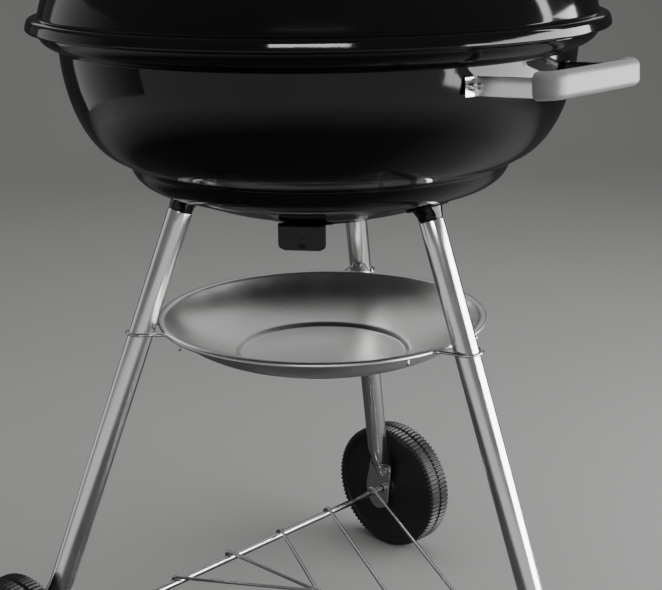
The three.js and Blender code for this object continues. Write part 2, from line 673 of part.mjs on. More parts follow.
function buildWheel(name, side) {
  const [rim, hub] = [WHEEL_WIDTH / 2, HUB_WIDTH / 2];
  const bore = AXLE_RADIUS + GAP;
  const tread = [[WHEEL_RADIUS - 3, rim], [WHEEL_RADIUS, rim - 3], [WHEEL_RADIUS, 2.5],
    [WHEEL_RADIUS - 3, 1.5]];
  const outer = [[bore, hub], [15, hub], [18, 9], [62, 9], [66, rim - 2], ...tread];
  const inner = [[bore, hub], [15, hub], [18, rim - 3], [72, rim - 3], [74, rim], ...tread];
  const innerSide = inner.map(([radius, x]) => [radius, -x]).reverse();
  const loop = [...outer, ...innerSide].map(([radius, x]) => [radius, WHEEL_CENTRE_X + x]);
  addPart(`wheel_${name}`, aboutAxle([...loop, loop[0]], side, 32), blackPlastic);

  const face = WHEEL_CENTRE_X + hub + GAP;
  const cap = [[0, AXLE_HALF_LENGTH + GAP], [bore, AXLE_HALF_LENGTH + GAP], [bore, face], [13, face],
    [12, face + CAP_DEPTH - 3], [7, face + CAP_DEPTH], [0, face + CAP_DEPTH]];
  addPart(`hub_cap_${name}`, aboutAxle(cap, side, 14), blackPlastic);
}

// ---------------------------------------------------------------- ash pan
function panOutline() {
  const path = new THREE.Path();
  path.moveTo(0, PAN_FLOOR_Z);
  path.lineTo(PAN_FLOOR_RADIUS, PAN_FLOOR_Z);
  path.lineTo(PAN_FLOOR_RADIUS + 6, PAN_FLOOR_Z + 4);
  path.quadraticCurveTo(140, PAN_FLOOR_Z + 17, 166, PAN_LIP_Z - 3);
  path.lineTo(168.5, PAN_LIP_Z - 0.6);
  path.lineTo(PAN_RADIUS, PAN_LIP_Z);
  return profilePoints(path, PROFILE_STEPS);
}

function buildAshPan() {
  addPart('ash_pan', turned(thickened(panOutline(), PAN_WALL)), aluminium);
}

/** A wire bent round the outside of a leg, whose two arms lie under the pan's lip. */
function buildPanClip(name, azimuth) {
  const z = PAN_LIP_Z - 0.6 - GAP - CLIP_WIRE_RADIUS;
  const legAxis = legRadiusAt(z);
  const bend = LEG_RADIUS + GAP + CLIP_WIRE_RADIUS + 1.2;
  const armRadius = PAN_RADIUS - 2.6;
  const endAngle = 17;
  const arm = [0, 4, 8].map((back) => polar(armRadius, endAngle - back, z));
  const tip = polar(armRadius + 1, endAngle + 0.8, z - 7);
  const shoulder = polar(armRadius + 3.5, 6.6, z);
  const half = [tip, ...arm, shoulder, new THREE.Vector3(legAxis - 6, bend, z)];
  const mirrored = half.map((point) => new THREE.Vector3(point.x, -point.y, point.z)).reverse();
  const stations = [...half, ...arc(legAxis, 0, bend, 90, -90, 10, z), ...mirrored];
  const wire = swept(roundSection(CLIP_WIRE_RADIUS, 6), stations);
  addPart(name, wire.rotateZ(radians(azimuth)), steelWire);
}

// ---------------------------------------------------------------- bottom rack
const RACK_Z = AXLE_Z + AXLE_RADIUS + 2 * GAP + RACK_WIRE_RADIUS;
const RACK_SPINE_RADIUS = 2.5;

/** Stations of a wire's end that hooks over the axle from the front, at a place along it. */
function axleHook(x, wireRadius = RACK_WIRE_RADIUS) {
  const radius = AXLE_RADIUS + 2 * GAP + wireRadius;
  return [90, 60, 30, 0, -30].map((angle) => new THREE.Vector3(x,
    AXLE_Y + radius * Math.cos(radians(angle)), AXLE_Z + radius * Math.sin(radians(angle))));
}

function buildRack() {
  const section = roundSection(RACK_WIRE_RADIUS, 6);
  const pieces = [1, 2, 3].map((order) => {
    const apex = new THREE.Vector3(0, AXLE_Y - order * RACK_DEPTH_PER_WIRE, RACK_Z);
    const left = axleHook(-order * RACK_PITCH).reverse();
    return swept(section, [...left, apex, ...axleHook(order * RACK_PITCH)]);
  });
  const legAxis = legRadiusAt(RACK_Z);
  const ringRadius = LEG_RADIUS / Math.cos(Math.atan(LEG_SPLAY)) + GAP + RACK_WIRE_RADIUS + 0.5;
  const spineEnd = new THREE.Vector3(0, ringRadius - legAxis, RACK_Z);
  const spine = [...axleHook(0, RACK_SPINE_RADIUS).reverse(), spineEnd];
  pieces.push(swept(roundSection(RACK_SPINE_RADIUS, 6), spine));
  pieces.push(turnedRing(circleProfile(ringRadius, RACK_Z, RACK_WIRE_RADIUS), 16).translate(0, -legAxis, 0));
  addSolid('bottom_rack', unite(pieces), steelWire);
}

// ---------------------------------------------------------------- assembly
buildBowl();
buildBottomDamper();
buildGrate('charcoal_grate', CHARCOAL_GRATE, ironGrey);
buildGrate('cooking_grate', COOKING_GRATE, steelWire);
buildLid();
buildLidDamper();
buildLidHandle();
buildSideHandle('side_handle_front', -90);
buildSideHandle('side_handle_rear', 90);
for (const [name, azimuth] of Object.entries(LEG_AZIMUTH)) {
  buildLegSocket(`leg_socket_${name}`, azimuth);
  buildPanClip(`ash_pan_clip_${name}`, azimuth);
}
buildFrontLeg();
for (const [name, side] of [['left', -1], ['right', 1]]) {
  buildWheelLeg(name, side);
  buildWheel(name, side);
}
buildAxle();
buildAshPan();
buildRack();

export default group;
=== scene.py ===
"""Kettle charcoal grill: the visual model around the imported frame, in metres.

Shapes are written in millimetres about the kettle's vertical axis, and `place` turns them into
metres in the frame. Each piece rides on the CAD body that it belongs to.
"""
import math

import bmesh
import bpy
from mathutils import Matrix, Vector


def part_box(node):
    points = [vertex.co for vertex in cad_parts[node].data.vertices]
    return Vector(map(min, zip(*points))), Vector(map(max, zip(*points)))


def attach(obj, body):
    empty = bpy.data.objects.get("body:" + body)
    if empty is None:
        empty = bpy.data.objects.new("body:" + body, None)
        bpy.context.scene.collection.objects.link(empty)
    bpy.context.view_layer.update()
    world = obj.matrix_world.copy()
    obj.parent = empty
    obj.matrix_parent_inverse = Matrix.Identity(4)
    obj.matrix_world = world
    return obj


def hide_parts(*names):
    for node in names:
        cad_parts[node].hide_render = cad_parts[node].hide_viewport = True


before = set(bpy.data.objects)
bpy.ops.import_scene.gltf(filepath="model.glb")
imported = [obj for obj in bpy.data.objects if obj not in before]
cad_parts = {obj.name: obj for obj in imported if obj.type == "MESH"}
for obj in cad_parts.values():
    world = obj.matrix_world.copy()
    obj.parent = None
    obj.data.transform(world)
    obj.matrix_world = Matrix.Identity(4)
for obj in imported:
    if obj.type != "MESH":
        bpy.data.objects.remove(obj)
bpy.context.view_layer.update()

MM = 0.001
BOWL_LOW, BOWL_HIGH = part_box("bowl_shell")
AXIS_Y = (BOWL_LOW.y + BOWL_HIGH.y) / 2
STAND, LID = "kettle_stand", "lid"


def deg(angle):
    return math.radians(angle)


def place(point):
    """A point in millimetres about the kettle's axis, in the frame's metres."""
    return Vector((point[0] * MM, point[1] * MM + AXIS_Y, point[2] * MM))


def polar(radius, azimuth, z=0.0):
    return Vector((radius * math.cos(deg(azimuth)), radius * math.sin(deg(azimuth)), z))


# ---- dimensions, in millimetres
def axis_mm(value):
    """A frame length in metres, in millimetres about the kettle's axis along Y."""
    return (value - AXIS_Y) / MM


BOWL_BOTTOM_Z = BOWL_LOW.z / MM
RIM_TOP_Z = BOWL_HIGH.z / MM
RIM_RADIUS = (BOWL_HIGH.x - BOWL_LOW.x) / 2 / MM
AXLE_LOW, AXLE_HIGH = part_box("axle")
AXLE_RADIUS = (AXLE_HIGH.z - AXLE_LOW.z) / 2 / MM
AXLE_Y = axis_mm((AXLE_LOW.y + AXLE_HIGH.y) / 2)
AXLE_Z = (AXLE_LOW.z + AXLE_HIGH.z) / 2 / MM
AXLE_END = AXLE_HIGH.x / MM
PAN_LIP_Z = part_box("ash_pan")[1].z / MM
PAN_FLOOR_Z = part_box("ash_pan")[0].z / MM

LEG_AZIMUTH = {"front": -90, "left": 150, "right": 30}
LEG_RADIUS = 12.5
LEG_SPLAY = 0.366
LEG_TOP_Z = 545.0
GAP = 0.3  # between parts that the CAD keeps just apart


def leg_radius_at(z):
    return 171.9 + LEG_SPLAY * (480 - z)


def leg_point(azimuth, z):
    return polar(leg_radius_at(z), azimuth, z)


# ---- mesh helpers
SMOOTH_ANGLE = deg(32)


def link_object(name, data):
    obj = bpy.data.objects.new(name, data)
    bpy.context.scene.collection.objects.link(obj)
    return obj


def new_mesh(name, verts, faces):
    mesh = bpy.data.meshes.new(name)
    mesh.from_pydata(verts, [], faces)
    return mesh


def dress(obj, coat, body, replaces=()):
    """Gives an object smooth shading with sharp edges, its material and its place on its body."""
    mesh = obj.data
    bm = bmesh.new()
    bm.from_mesh(mesh)
    bmesh.ops.recalc_face_normals(bm, faces=bm.faces)
    for face in bm.faces:
        face.smooth = True
    for edge in bm.edges:
        edge.smooth = not (len(edge.link_faces) == 2 and edge.calc_face_angle(0.0) > SMOOTH_ANGLE)
    bm.to_mesh(mesh)
    bm.free()
    mesh.materials.clear()
    mesh.materials.append(coat)
    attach(obj, body)
    if replaces:
        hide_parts(*replaces)


class Build:
    """Collects the vertices and faces of one or more closed shells."""

    def __init__(self):
        self.verts, self.faces, self.uvs = [], [], []

    def add(self, verts, faces, uvs=None):
        start = len(self.verts)
        self.verts += [Vector(v) for v in verts]
        self.faces += [[start + i for i in face] for face in faces]
        self.uvs += uvs if uvs is not None else [(0.0, 0.0)] * len(verts)
        return self

    def move(self, matrix):
        self.verts = [matrix @ v for v in self.verts]
        return self

    def piece(self, name, coat, body, *replaces):
        """Makes a named piece that rides on a body and stands for CAD nodes."""
        mesh = new_mesh(name, [place(v) for v in self.verts], self.faces)
        layer = mesh.uv_layers.new(name="grain")
        for loop in mesh.loops:
            layer.data[loop.index].uv = self.uvs[loop.vertex_index]
        obj = link_object(name, mesh)
        dress(obj, coat, body, replaces)
        return obj


def rings_mesh(rings, closed_long=False):
    """Faces between rings of equal length, with a fan at both ends where it is open."""
    verts, faces = [v for ring in rings for v in ring], []
    count, n = len(rings), len(rings[0])
    for i in range(count if closed_long else count - 1):
        a, b = i * n, (i + 1) % count * n
        for j in range(n):
            k = (j + 1) % n
            faces.append([a + j, a + k, b + k, b + j])
    if not closed_long:
        faces.append(list(range(n))[::-1])
        faces.append([(count - 1) * n + j for j in range(n)])
    return verts, faces


def lathe(profile, segments, closed=False, centre=(0, 0)):
    """Turns [radius, z] points about a vertical axis. Open profiles start and end on the axis."""
    verts, uvs, faces, index = [], [], [], []
    length = 0.0
    for i, (r, z) in enumerate(profile):
        if i:
            length += math.dist(profile[i - 1], profile[i])
        on_axis = r < 1e-6
        angles = [0.0] if on_axis else full_turn(segments)
        index.append([len(verts) + (0 if on_axis else j) for j in range(segments)])
        verts += [(centre[0] + r * math.cos(a), centre[1] + r * math.sin(a), z) for a in angles]
        uvs += [(length * MM, r * a * MM) for a in angles]
    rows = len(profile)
    for i in range(rows if closed else rows - 1):
        a, b = index[i], index[(i + 1) % rows]
        for j in range(segments):
            k = (j + 1) % segments
            face = list(dict.fromkeys((a[j], a[k], b[k], b[j])))
            if len(face) > 2:
                faces.append(face)
    return verts, faces, uvs


def interpolate(line, at):
    """The value at a position of a line of (position, value) points, which holds it."""
    for (p0, v0), (p1, v1) in zip(line, line[1:]):
        if min(p0, p1) <= at <= max(p0, p1) and p0 != p1:
            return v0 + (v1 - v0) * (at - p0) / (p1 - p0)


def bezier(p0, p1, p2, p3, steps):
    """Points of a cubic curve, without its first."""
    return [tuple((1 - t) ** 3 * a + 3 * (1 - t) ** 2 * t * b + 3 * (1 - t) * t * t * c + t ** 3 * d
                  for a, b, c, d in zip(p0, p1, p2, p3)) for t in (i / steps for i in range(1, steps + 1))]


def quadratic(p0, p1, p2, steps):
    """Points of a quadratic curve, without its first."""
    return [tuple((1 - t) ** 2 * a + 2 * (1 - t) * t * b + t * t * c for a, b, c in zip(p0, p1, p2))
            for t in (i / steps for i in range(1, steps + 1))]


def corner_curve(a, corner, b, steps):
    return [a * (1 - t) ** 2 + corner * 2 * t * (1 - t) + b * t * t
            for t in (k / steps for k in range(steps + 1))]


def rounded(points, radius, steps, closed=False):
    """A polyline with its corners replaced by curves that start `radius` from each corner."""
    points = [Vector(p) for p in points]
    count = len(points)
    radii = radius if isinstance(radius, list) else [radius] * count
    out = []
    for i, corner in enumerate(points):
        if not closed and i in (0, count - 1) or radii[i] <= 0:
            out.append(corner)
            continue
        before, after = points[i - 1], points[(i + 1) % count]
        reach = min(radii[i], (before - corner).length * 0.49, (after - corner).length * 0.49)
        a = corner + (before - corner).normalized() * reach
        b = corner + (after - corner).normalized() * reach
        out += corner_curve(a, corner, b, steps)
    return out


def offset_line(points, distance):
    """Moves each point of an open [x, y] line to its left by a distance."""
    out = []
    for i, (x, y) in enumerate(points):
        a, b = points[max(i - 1, 0)], points[min(i + 1, len(points) - 1)]
        dx, dy = b[0] - a[0], b[1] - a[1]
        length = math.hypot(dx, dy) or 1.0
        out.append((x if x < 0.01 else x - dy / length * distance, y + dx / length * distance))
    return out


def sheet_profile(outline, wall):
    """An outline, its inner side and a rounded lip between them, for a shell turned about its axis."""
    inner = offset_line(outline, wall)
    end, before = Vector(outline[-1]), Vector(outline[-2])
    middle = (end + Vector(inner[-1])) / 2
    side = end - middle
    ahead = Vector((side.y, -side.x))
    if ahead.dot(end - before) < 0:
        ahead = -ahead
    lip = [tuple(middle + side * math.cos(a) + ahead * math.sin(a))
           for a in (math.pi * k / 6 for k in range(1, 6))]
    return outline + lip + inner[::-1]


def frames_along(points, up=None):
    """(side, up) at each point of a line, without twist, or square to a fixed `up`."""
    out, side = [], None
    for i in range(len(points)):
        tangent = (points[min(i + 1, len(points) - 1)] - points[max(i - 1, 0)]).normalized()
        if up is not None:
            side = tangent.cross(Vector(up)).normalized()
        elif side is None:
            seed = Vector((0, 0, 1)) if abs(tangent.z) < 0.9 else Vector((1, 0, 0))
            side = tangent.cross(seed).normalized()
        else:
            side = (side - tangent * side.dot(tangent)).normalized()
        out.append((side, side.cross(tangent)))
    return out


def mitre(points, i):
    """How much a section widens sideways so that a sharp bend keeps its width."""
    if i in (0, len(points) - 1):
        return 1.0
    a = (points[i] - points[i - 1]).normalized()
    b = (points[i + 1] - points[i]).normalized()
    return 1.0 / math.sqrt(max((1 + a.dot(b)) / 2, 0.25))


def sweep(points, section, up=None, scales=None):
    """Sweeps a closed [side, up] section along a line and closes both ends."""
    points = [Vector(p) for p in points]
    rings, uvs, travel, around = [], [], 0.0, [0.0]
    for a, b in zip(section, section[1:]):
        around.append(around[-1] + math.dist(a, b))
    for i, (point, (side, upward)) in enumerate(zip(points, frames_along(points, up))):
        if i:
            travel += (point - points[i - 1]).length
        grow = scales[i] if scales else 1.0
        wide = mitre(points, i) if up is not None else 1.0
        rings.append([point + side * (s * grow * wide) + upward * (u * grow) for s, u in section])
        uvs += [(travel * MM, a * MM) for a in around]
    return *rings_mesh(rings), uvs


def full_turn(count):
    return [2 * math.pi * i / count for i in range(count)]


def circle(radius, count):
    return [(radius * math.cos(a), radius * math.sin(a)) for a in full_turn(count)]


WIRE_END = [(1.0, 0.25), (0.9, 0.62), (0.55, 0.9)]
WIRE_END_REACH = 0.35


def wire(points, radius, count=14):
    """A round wire along a line, with rounded ends."""
    points = [Vector(p) for p in points]
    first = (points[0] - points[1]).normalized()
    last = (points[-1] - points[-2]).normalized()
    head = [points[0] + first * radius * WIRE_END_REACH * out for out, _ in WIRE_END]
    tail = [points[-1] + last * radius * WIRE_END_REACH * out for out, _ in reversed(WIRE_END)]
    ends = [grow for _, grow in WIRE_END]
    scales = ends + [1.0] * len(points) + ends[::-1]
    return sweep(head + points + tail, circle(radius, count), None, scales)


def arc_points(centre, radius, start, end, steps, z=0.0):
    """Points of a level arc, from a start to an end angle in degrees."""
    angles = (deg(start + (end - start) * i / steps) for i in range(steps + 1))
    return [Vector((centre[0] + radius * math.cos(a), centre[1] + radius * math.sin(a), z)) for a in angles]


def rounded_box_section(width, height, radius, steps, crown=0.0):
    """A closed section with rounded corners, and faces that bulge by a crown."""
    w, h = width / 2, height / 2
    out = []
    for right, top, start in ((1, 1, 0), (-1, 1, 90), (-1, -1, 180), (1, -1, 270)):
        corner = arc_points((right * (w - radius), top * (h - radius)), radius, start, start + 90, steps)
        out += [(p.x, p.y) for p in corner]
    if crown:
        out = [(x + math.copysign(crown * (1 - (y / h) ** 2), x) if abs(x) > w * 0.7 else x, y)
               for x, y in out]
    return out


def evaluated_mesh(obj):
    bpy.context.view_layer.update()
    graph = bpy.context.evaluated_depsgraph_get()
    return bpy.data.meshes.new_from_object(obj.evaluated_get(graph))


def plate(outline, thickness, bevel, holes=()):
    """A flat plate from an [x, y] outline, centred on z = 0, with rounded edges."""
    curve = bpy.data.curves.new("plate", "CURVE")
    curve.dimensions = "2D"
    curve.fill_mode = "BOTH"
    curve.extrude = thickness / 2 - bevel
    curve.bevel_depth = bevel
    curve.bevel_resolution = 2
    curve.offset = -bevel
    for loop in [outline, *holes]:
        spline = curve.splines.new("POLY")
        spline.points.add(len(loop) - 1)
        for point, corner in zip(spline.points, loop):
            point.co = (corner[0], corner[1], 0, 1)
        spline.use_cyclic_u = True
    obj = link_object("plate", curve)
    mesh = evaluated_mesh(obj)
    bm = bmesh.new()
    bm.from_mesh(mesh)
    bmesh.ops.remove_doubles(bm, verts=bm.verts, dist=1e-4)
    bm.verts.ensure_lookup_table()
    verts = [v.co.copy() for v in bm.verts]
    faces = [[v.index for v in f.verts] for f in bm.faces]
    bm.free()
    bpy.data.objects.remove(obj)
    bpy.data.curves.remove(curve)
    bpy.data.meshes.remove(mesh)
    return verts, faces, [(v.x * MM, v.y * MM) for v in verts]


def cut_with(obj, verts, faces, operation="DIFFERENCE"):
    """Cuts or joins an object with a closed tool, and keeps the result as its mesh."""
    mesh = new_mesh("tool", [place(v) for v in verts], faces)
    bm = bmesh.new()
    bm.from_mesh(mesh)
    bmesh.ops.recalc_face_normals(bm, faces=bm.faces)
    bm.to_mesh(mesh)
    bm.free()
    tool = link_object("tool", mesh)
    modifier = obj.modifiers.new("cut", "BOOLEAN")
    modifier.operation = operation
    modifier.solver = "EXACT"
    modifier.object = tool
    made = evaluated_mesh(obj)
    obj.modifiers.clear()
    old = obj.data
    obj.data = made
    made.name = old.name
    bpy.data.meshes.remove(old)
    bpy.data.objects.remove(tool)
    bpy.data.meshes.remove(mesh)


def cylinder(start, end, radius, count):
    return sweep([start, end], circle(radius, count))[:2]


# ---- materials
def material(name):
    made = bpy.data.materials.new(name)
    made.use_nodes = True
    tree = made.node_tree
    shader = tree.nodes["Principled BSDF"]
    return made, tree, shader


def node(tree, kind, **values):
    made = tree.nodes.new(kind)
    for key, value in values.items():
        if hasattr(made, key):
            setattr(made, key, value)
        else:
            made.inputs[key.replace("_", " ")].default_value = value
    return made


def noise(tree, vector, scale, detail):
    made = node(tree, "ShaderNodeTexNoise", Scale=scale, Detail=detail)
    tree.links.new(vector, made.inputs["Vector"])
    return made.outputs["Fac"]


def ramp(tree, factor, low, high, start, end):
    """Maps a factor from start..end to low..high."""
    made = node(tree, "ShaderNodeMapRange")
    for socket, value in (("From Min", start), ("From Max", end), ("To Min", low), ("To Max", high)):
        made.inputs[socket].default_value = value
    tree.links.new(factor, made.inputs["Value"])
    return made.outputs["Result"]


def tint(tree, factor, dark, light):
    made = node(tree, "ShaderNodeMix", data_type="RGBA")
    made.inputs[6].default_value = (*dark, 1)
    made.inputs[7].default_value = (*light, 1)
    tree.links.new(factor, made.inputs[0])
    return made.outputs[2]


def bump(tree, shader, height, strength, distance):
    made = node(tree, "ShaderNodeBump", Strength=strength, Distance=distance)
    tree.links.new(height, made.inputs["Height"])
    tree.links.new(made.outputs["Normal"], shader.inputs["Normal"])


def streaks(tree, scale, detail, stretch):
    """Noise drawn out along or across a piece's grain, in metres along it and round it."""
    mapping = node(tree, "ShaderNodeMapping")
    mapping.inputs["Scale"].default_value = stretch
    grain = node(tree, "ShaderNodeUVMap", uv_map="grain").outputs["UV"]
    tree.links.new(grain, mapping.inputs["Vector"])
    return noise(tree, mapping.outputs["Vector"], scale, detail)


def object_coords(tree):
    return node(tree, "ShaderNodeTexCoord").outputs["Object"]


def finish(name, clouds, colours, roughness, relief, depth, stretch=None, **sockets):
    """A surface with clouds of dullness and a fine relief, which is streaked if it has a stretch.

    Clouds and relief are (scale, detail), and depth is the relief's (strength, distance).
    """
    made, tree, shader = material(name)
    coords = object_coords(tree)
    mottle = noise(tree, coords, *clouds)
    fine = streaks(tree, *relief, stretch) if stretch else noise(tree, coords, *relief)
    tree.links.new(tint(tree, fine if stretch else mottle, *colours), shader.inputs["Base Color"])
    tree.links.new(ramp(tree, mottle, *roughness, 0.3, 0.7), shader.inputs["Roughness"])
    for socket, value in sockets.items():
        shader.inputs[socket].default_value = value
    bump(tree, shader, fine, *depth)
    return made


# Fired gloss enamel: near black, with a faint orange peel and a few duller clouds.
ENAMEL = finish("black_enamel", (9.0, 4.0), ((0.0035, 0.0036, 0.0038), (0.0065, 0.0065, 0.0066)),
                (0.05, 0.11), (190.0, 2.0), (0.035, 0.0006), IOR=1.4)
# Spun aluminium: fine rings round the axis.
ALUMINIUM = finish("satin_aluminium", (14.0, 3.0), ((0.50, 0.50, 0.49), (0.66, 0.66, 0.65)),
                   (0.27, 0.38), (1.0, 2.0), (0.10, 0.0002), (2600.0, 5.0, 1.0), Metallic=1.0)
# Drawn and polished tube and strap: bright, with faint streaks along its length.
POLISHED = finish("polished_metal", (22.0, 3.0), ((0.70, 0.70, 0.69), (0.84, 0.84, 0.83)),
                  (0.13, 0.21), (1.0, 3.0), (0.06, 0.0002), (3.0, 900.0, 1.0), Metallic=1.0)
PLATED = finish("plated_steel", (120.0, 3.0), ((0.50, 0.50, 0.49), (0.64, 0.64, 0.63)),
                (0.14, 0.26), (900.0, 2.0), (0.05, 0.0002), Metallic=1.0)
# Heavy plain rod with a dull mill skin.
GRATE = finish("grate_steel", (60.0, 5.0), ((0.14, 0.135, 0.13), (0.32, 0.31, 0.30)),
               (0.38, 0.6), (700.0, 3.0), (0.2, 0.0003), Metallic=0.9)
# Moulded plastics with a spark-eroded grain.
GREY_PLASTIC = finish("grey_plastic", (35.0, 3.0), ((0.33, 0.33, 0.325), (0.37, 0.37, 0.365)),
                      (0.38, 0.46), (1500.0, 2.0), (0.12, 0.0003))
BLACK_PLASTIC = finish("black_plastic", (35.0, 3.0), ((0.011, 0.011, 0.011), (0.017, 0.017, 0.016)),
                       (0.46, 0.54), (1300.0, 2.0), (0.2, 0.0003))


# ---- bowl
BOWL_WALL = 2.0
DISH_EDGE, STEP, STEP_TOP, SHELF = (128.0, 552.0), (163.0, 564.6), (195.0, 592.0), (213.0, 602.0)
WALL_TOP = (258.8, 707.6)
RIM_LIP = 4.2


def bowl_outline():
    """The bowl's outer face from its middle to its rim."""
    bottom = (0.0, BOWL_BOTTOM_Z)
    line = [bottom] + quadratic(bottom, (75.0, BOWL_BOTTOM_Z), DISH_EDGE, 18)
    lower = [STEP] + quadratic(STEP, (190.5, 571.0), STEP_TOP, 16)
    wall = bezier(SHELF, (236.0, 614.0), (256.0, 655.0), WALL_TOP, 30)
    flare = bezier(WALL_TOP, (266.0, 711.3), (277.5, 712.8), (RIM_RADIUS, 728.0), 18)
    return line + lower + [SHELF] + wall + flare + [(RIM_RADIUS, RIM_TOP_Z - RIM_LIP)]


def soften(profile, bends):
    """Rounds corners of a dense profile: each bend is (corner index, reach)."""
    points = [Vector((r, z, 0)) for r, z in profile]
    out, skip, plan = [], set(), {}
    for corner, reach in bends:
        middle = points[corner]
        before = after = corner
        while before > 0 and (points[before] - middle).length < reach:
            before -= 1
        while after < len(points) - 1 and (points[after] - middle).length < reach:
            after += 1
        a = middle + (points[before] - middle).normalized() * reach
        b = middle + (points[after] - middle).normalized() * reach
        plan[before + 1] = corner_curve(a, middle, b, 6)
        skip |= set(range(before + 1, after))
    for i, point in enumerate(points):
        out += plan.get(i, [])
        if i not in skip:
            out.append(point)
    return [(p.x, p.y) for p in out]


OUTLINE = bowl_outline()
BENDS = [(min(range(len(OUTLINE)), key=lambda i: math.dist(OUTLINE[i], corner)), reach)
         for corner, reach in ((STEP, 2.2), (STEP_TOP, 2.4), (WALL_TOP, 1.2))]
BOWL_PROFILE = soften(OUTLINE, BENDS)


def bowl_z(radius):
    """Height of the bowl's outer face at a radius."""
    return interpolate(BOWL_PROFILE, radius)


VENT_CIRCLE, VENT_RADIUS = 46.0, 14.0


def cut_vents(obj, first):
    """Cuts three round vents, the first at an azimuth."""
    for i in range(3):
        x, y, _ = polar(VENT_CIRCLE, first + 120 * i)
        ends = [(x, y, BOWL_BOTTOM_Z + reach) for reach in (-20, 20)]
        cut_with(obj, *cylinder(*ends, VENT_RADIUS, 40))


def build_bowl():
    shell = Build().add(*lathe(sheet_profile(BOWL_PROFILE, BOWL_WALL), 192))
    bowl = shell.piece("bowl", ENAMEL, STAND, "bowl_shell")
    cut_vents(bowl, 30)
    dress(bowl, ENAMEL, STAND)


def build_bottom_damper():
    """A dished disc with three vents, and an arm that turns down into a tab."""
    wall = 1.5
    outline = [(0.0, BOWL_BOTTOM_Z - GAP - wall)]
    outline += quadratic(outline[0], (40.0, outline[0][1]), (72.0, BOWL_BOTTOM_Z + 2.9), 12)
    blade = Build().add(*lathe(sheet_profile(outline, wall - 0.1), 96))
    disc = blade.piece("bottom_damper_disc", ENAMEL, "bottom_damper", "bottom_damper")
    cut_vents(disc, 60)
    dress(disc, ENAMEL, "bottom_damper")

    half, corner, radius, bottom, gap = 23.5, 6.0, 111.2, 518.0, 2.2
    dimple_z, dimple_depth, dimple_size = 526.0, 1.1, 4.0
    start, top = (64.0, 0, bowl_z(64.0) - gap), (radius, 0, bowl_z(radius) - gap)
    line = rounded([start, top, (radius, 0, bottom)], [0, 3.5, 0], 6)
    dense = [line[0]] + [line[0].lerp(line[1], k / 5) for k in range(1, 5)] + line[1:-1]
    dense += [line[-2].lerp(line[-1], k / 10) for k in range(1, 11)]
    across = [-1, -0.97, -0.6, -0.25, -0.1, 0, 0.1, 0.25, 0.6, 0.97, 1]
    rings = []
    for i, (point, (normal, _)) in enumerate(zip(dense, frames_along(dense, up=(0, 1, 0)))):
        left = max(0.0, corner - (point.z - bottom)) if i > len(line) else 0.0
        wide = half - (corner - math.sqrt(max(corner ** 2 - left ** 2, 0.0)) if left > 0 else 0.0)
        on_tab = point.x > radius - 1
        dimple = dimple_depth * math.exp(-((point.z - dimple_z) / dimple_size) ** 2) if on_tab else 0.0
        ring = []
        for face in (0.75, -0.75):
            for u in across if face > 0 else reversed(across):
                pinch = 0.55 if abs(u) == 1 else 1.0
                bulge = dimple * math.exp(-(u * wide / dimple_size) ** 2)
                ring.append(point + Vector((0, u * wide, 0)) + normal * (face * pinch + bulge))
        rings.append(ring)
    tab = Build().add(*rings_mesh(rings)).move(Matrix.Rotation(deg(-146), 4, "Z"))
    tab.piece("bottom_damper_tab", ENAMEL, "bottom_damper", "bottom_damper")

    floor, under = BOWL_BOTTOM_Z + BOWL_WALL + 0.9, BOWL_BOTTOM_Z - wall - 0.6
    rivet = [(0, under - 3), *quadratic((0, under - 3), (8.5, under - 3), (9, under), 6), (4, under),
             (4, floor), (9, floor), *quadratic((9, floor), (8.5, floor + 2.5), (0, floor + 2.5), 6)]
    Build().add(*lathe(rivet, 32)).piece("bottom_rivet", PLATED, STAND, "bottom_damper_rivet")


# ---- lid
LID_BASE_Z, LID_BASE_RADIUS, LID_RISE, LID_SINK = 743.5, 277.0, 188.0, 50.0
LID_WALL = 2.0
LID_VENT_STATION = 178.0
ELLIPSE_HEIGHT = LID_RISE + LID_SINK
ELLIPSE_WIDTH = LID_BASE_RADIUS / math.sqrt(1 - (LID_SINK / ELLIPSE_HEIGHT) ** 2)


def dome_radius(height):
    return ELLIPSE_WIDTH * math.sqrt(max(1 - ((height + LID_SINK) / ELLIPSE_HEIGHT) ** 2, 0.0))


def dome_z(radius):
    return LID_BASE_Z - LID_SINK + ELLIPSE_HEIGHT * math.sqrt(1 - (radius / ELLIPSE_WIDTH) ** 2)


def lid_outline():
    """The lid's outer face from its top to the flange's turned-in lip."""
    steps, drop = 56, 4.0
    heights = [(LID_RISE + drop) * math.cos(deg(90 * i / steps)) - drop for i in range(steps)]
    dome = [(dome_radius(h) if i else 0.0, LID_BASE_Z + h) for i, h in enumerate(heights)]
    top, shoulder, side, lip = (282.5, 739.1), (288.7, 734.4), (289.8, 730.0), (286.6, 726.0)
    neck = rounded([(*dome[-1], 0), (278.0, 739.6, 0), (*top, 0)], 2.0, 6)[1:]
    flange = bezier(top, (286.4, 738.7), (288.1, 737.2), shoulder, 14) + [side]
    flange += bezier(side, (290.3, 727.6), (289.3, 726.8), lip, 8) + [(284.4, 725.4)]
    return dome + [(p.x, p.y) for p in neck] + flange


def vent_matrix():
    """Turns the vent's own frame, whose Z axis stands square on the dome, into place."""
    station = LID_VENT_STATION
    slope = (dome_z(station + 1) - dome_z(station - 1)) / 2
    normal = Vector((0, -slope, 1)).normalized()
    turn = Vector((0, 0, 1)).rotation_difference(normal).to_matrix().to_4x4()
    return Matrix.Translation((0, station, dome_z(station))) @ turn


def moved(mesh, matrix):
    return [matrix @ Vector(v) for v in mesh[0]], mesh[1]


